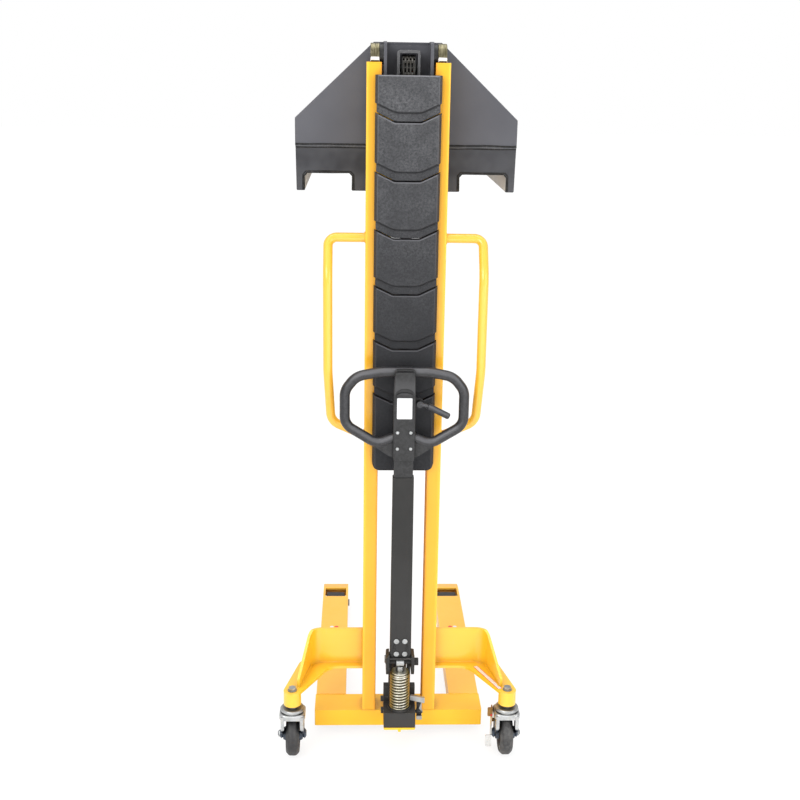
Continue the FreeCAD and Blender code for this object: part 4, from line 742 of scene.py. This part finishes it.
def make_frame_welds(material):
    base_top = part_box("base_crossmember")[1].z / MM - 6
    mast_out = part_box("right_upright")[1].x / MM
    web_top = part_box("right_outrigger")[1].z / MM
    ring_r = HANDLE_TUBE_R + 0.8
    beads = Build()
    for sign in (-1, 1):
        side = sign * mast_out
        web_foot = [(sign * x, y, PLATE_TOP) for x, y in WEB_PATH]
        bead(beads, [(side, 1, base_top), (side, MAST_FRONT_Y, base_top)], 2.6)
        bead(beads, [(sign * 71, -0.3, base_top), (sign * 107, -0.3, base_top)], 1.8)
        bead(beads, [(side, WEB_Y, PLATE_TOP + 2), (side, WEB_Y, web_top - 3)], 2.6)
        bead(beads, [(side, OUTRIGGER_REAR_Y, PLATE_TOP), (side, WEB_Y - 1, PLATE_TOP)], 2.4)
        bead(beads, [(side, OUTRIGGER_REAR_Y, PLATE_TOP - 7), (side, OUTRIGGER_REAR_Y, PLATE_TOP)], 2.2)
        bead(beads, [(side, WEB_Y, PLATE_TOP), *web_foot], 2.4)
        bead(beads, ring_in_x(side, *HANDLE_TOP, (ring_r, ring_r)), 2.4)
        bead(beads, ring_in_x(side, *HANDLE_FOOT, (ring_r, ring_r + 2.6)), 2.4)
        bead(beads, [(sign * 160, BASE_FRONT_Y, base_top), (sign * 246, BASE_FRONT_Y, base_top)], 2.2)
        bead(beads, [(sign * 8, -0.5, base_top - 0.5), (sign * 44, -0.5, base_top - 0.5)], 1.8)
    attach(beads.piece("frame_welds", material), "frame")


def notch_rim(sign, inset):
    """Corners round one fork notch of the heel plate, set back from its edge."""
    near, far, top = NOTCH_IN - inset, NOTCH_OUT + inset, NOTCH_TOP + inset
    rim = [(near, NOTCH_LOW), (near, top - 9), (near + 8, top),
           (far - 8, top), (far, top - 9), (far, NOTCH_LOW)]
    return [(sign * x, PLATE_REAR + 0.9, z) for x, z in rim]


def make_carriage_welds(bright, dark):
    """Seam over the heel plate between two thin near-black beads that are painted shade lines, near-black
    weld rims round the notches painted as dark as shade, and stitches of the side plates.
    """
    seam_z, seam_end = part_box("heel_plate")[1].z / MM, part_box("heel_plate")[1].x / MM
    beads, edges = Build(), Build()
    # rows: the seam bead, then thin near-black beads above and below it that stand for painted shade
    rows = ((beads, 0, 0.6, 3.0), (edges, 4.2, 0.8, 2.2), (edges, -4.4, 0.4, 1.2))
    for sign in (-1, 1):
        seam_in, seam_out = sign * (SIDE_FACES[1] + 0.5), sign * seam_end
        for build, rise, proud, radius in rows:
            y, z = PLATE_REAR - proud, seam_z + rise
            bead(build, [(seam_in, y, z), (seam_out, y, z)], radius)
        # near-black rims round each notch: a weld bead painted as dark as the shade it lies in
        for inset in (0.8, 4.2):
            bead(edges, notch_rim(sign, inset), 2.2)
        for low in CARRIAGE_STITCHES:
            for x in SIDE_FACES:
                bead(beads, [(sign * x, PLATE_REAR - 1, low), (sign * x, PLATE_REAR - 1, low + STITCH)], 2.0)
    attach(beads.piece("carriage_welds", bright), "carriage")
    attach(edges.piece("carriage_weld_shade_lines", dark), "carriage")


# ---- films and reflectors ----
def rounded_sheet(build, middle, right, up, size, radius, thick):
    """Thin sheet with round corners, centred on a place and spanned by two directions."""
    half_w, half_h = size[0] / 2 - radius, size[1] / 2 - radius
    outline = []
    for corner, (a, b) in enumerate(((1, 1), (-1, 1), (-1, -1), (1, -1))):
        for step in range(7):
            angle = math.pi / 2 * (corner + step / 6)
            outline.append(middle + right * ((a * half_w + math.cos(angle) * radius) * MM)
                           + up * ((b * half_h + math.sin(angle) * radius) * MM))
    build.prism(outline, right.cross(up) * (thick * MM))


def film(name, middle, right, up, size, radius, thick, material, body):
    build = Build()
    rounded_sheet(build, middle, right, up, size, radius, thick)
    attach(build.piece(name, material), body)


def make_films(materials):
    level, upright = Vector((1, 0, 0)), Vector((0, 0, 1))
    red, white = materials["red_film"], materials["label"]
    film("head_label", at(0, HEAD_REAR_Y, LABEL_Z), level, upright, (41, 58.5), 2, 0.35, white, "tiller")
    along = Vector((*STRIP_AIM, 0)).normalized()
    across = Vector((-along.y, along.x, 0))
    film("outrigger_strip_edge", at(*STRIP_PLACE, PLATE_TOP), along, across, (143, 14), 2, 0.25, red,
         "frame")
    film("outrigger_strip", at(*STRIP_PLACE, PLATE_TOP + 0.2), along, across, (142, 10.5), 2, 0.25, white,
         "frame")
    for side, sign in (("left", -1), ("right", 1)):
        for colour, material, x in zip(("red", "white"), (red, white), REFLECTOR_XS):
            place = at(sign * x, REFLECTOR_Y, REFLECTOR_Z)
            film(side + "_leg_reflector_" + colour, place, level, Vector((0, 1, 0)), (13, 13), 6.4, 1.2,
                 material, "frame")
    film("brake_mark", at(*BRAKE_MARK_PLACE), level, upright, (6, 6), 2.9, 0.4, red, "brake")


# ---------------------------------------------------------------- camera and stage
def make_camera():
    yaw, pitch = CAMERA_YAW, CAMERA_PITCH
    ahead = Vector((math.sin(yaw) * math.cos(pitch), math.cos(yaw) * math.cos(pitch), -math.sin(pitch)))
    level = Vector((math.cos(yaw), -math.sin(yaw), 0.0))
    down = ahead.cross(level)
    right = level * math.cos(CAMERA_ROLL) + down * math.sin(CAMERA_ROLL)
    up = level * math.sin(CAMERA_ROLL) - down * math.cos(CAMERA_ROLL)
    data = bpy.data.cameras.new("camera")
    data.lens, data.sensor_width = CAMERA_LENS, SENSOR
    camera = bpy.data.objects.new("camera", data)
    bpy.context.scene.collection.objects.link(camera)
    turn = Matrix((right, up, -ahead)).transposed()
    camera.matrix_world = Matrix.Translation(at(*CAMERA_PLACE)) @ turn.to_4x4()
    bpy.context.scene.camera = camera


def make_floor():
    mesh = bpy.data.meshes.new("floor")
    corners = [(-FLOOR_HALF, -FLOOR_HALF, 0), (FLOOR_HALF, -FLOOR_HALF, 0),
               (FLOOR_HALF, FLOOR_HALF, 0), (-FLOOR_HALF, FLOOR_HALF, 0)]
    mesh.from_pydata(corners, [], [(0, 1, 2, 3)])
    mesh.materials.append(floor_material())
    floor = bpy.data.objects.new("floor", mesh)
    bpy.context.scene.collection.objects.link(floor)


def area_light(name, place, target, size, power):
    data = bpy.data.lights.new(name, "AREA")
    data.shape = "RECTANGLE"
    data.size, data.size_y = size
    data.energy = power
    light = bpy.data.objects.new(name, data)
    bpy.context.scene.collection.objects.link(light)
    light.location = place
    light.rotation_euler = (Vector(target) - Vector(place)).to_track_quat("-Z", "Y").to_euler()


def make_sky():
    """White to the eye and for the light it gives; polished surfaces see a darker room."""
    world = bpy.data.worlds.new("studio")
    world.use_nodes = True
    tree = world.node_tree
    output, plain = tree.nodes["World Output"], tree.nodes["Background"]
    plain.inputs["Color"].default_value = (1.0, 1.0, 1.0, 1.0)
    room = tree.nodes.new("ShaderNodeBackground")
    height = tree.nodes.new("ShaderNodeSeparateXYZ")
    fade = tree.nodes.new("ShaderNodeMapRange")
    fade.inputs["From Min"].default_value, fade.inputs["From Max"].default_value = -0.1, 0.9
    fade.inputs["To Min"].default_value, fade.inputs["To Max"].default_value = 0.42, 1.1
    rays = tree.nodes.new("ShaderNodeLightPath")
    blend = tree.nodes.new("ShaderNodeMixShader")
    tree.links.new(tree.nodes.new("ShaderNodeTexCoord").outputs["Generated"], height.inputs[0])
    tree.links.new(height.outputs["Z"], fade.inputs["Value"])
    tree.links.new(fade.outputs["Result"], room.inputs["Strength"])
    tree.links.new(rays.outputs["Is Glossy Ray"], blend.inputs[0])
    tree.links.new(plain.outputs[0], blend.inputs[1])
    tree.links.new(room.outputs[0], blend.inputs[2])
    tree.links.new(blend.outputs[0], output.inputs["Surface"])
    bpy.context.scene.world = world


def make_light():
    bpy.context.scene.view_settings.view_transform = "Standard"
    make_sky()
    middle = at(0, 200, 1000)
    area_light("key", at(-2200, -3200, 3400), middle, (2.4, 2.4), 90)
    area_light("fill", at(2800, -2600, 1800), middle, (2.0, 2.6), 45)
    area_light("top", at(0, 500, 4600), middle, (3.0, 3.0), 60)
    area_light("low", at(200, -2400, 700), at(0, 0, 150), (2.4, 0.7), 10)


materials = {**yellow_paints(), **dark_paints(), **plastics(), **metals()}
dress_cad_nodes(materials)
repaint_details(materials)
make_chain(materials)
make_spring(materials)
make_frame_welds(materials["yellow_weld"])
make_carriage_welds(materials["slate_weld"], materials["dark_weld_shade"])
make_films(materials)
make_floor()
make_light()
make_camera()
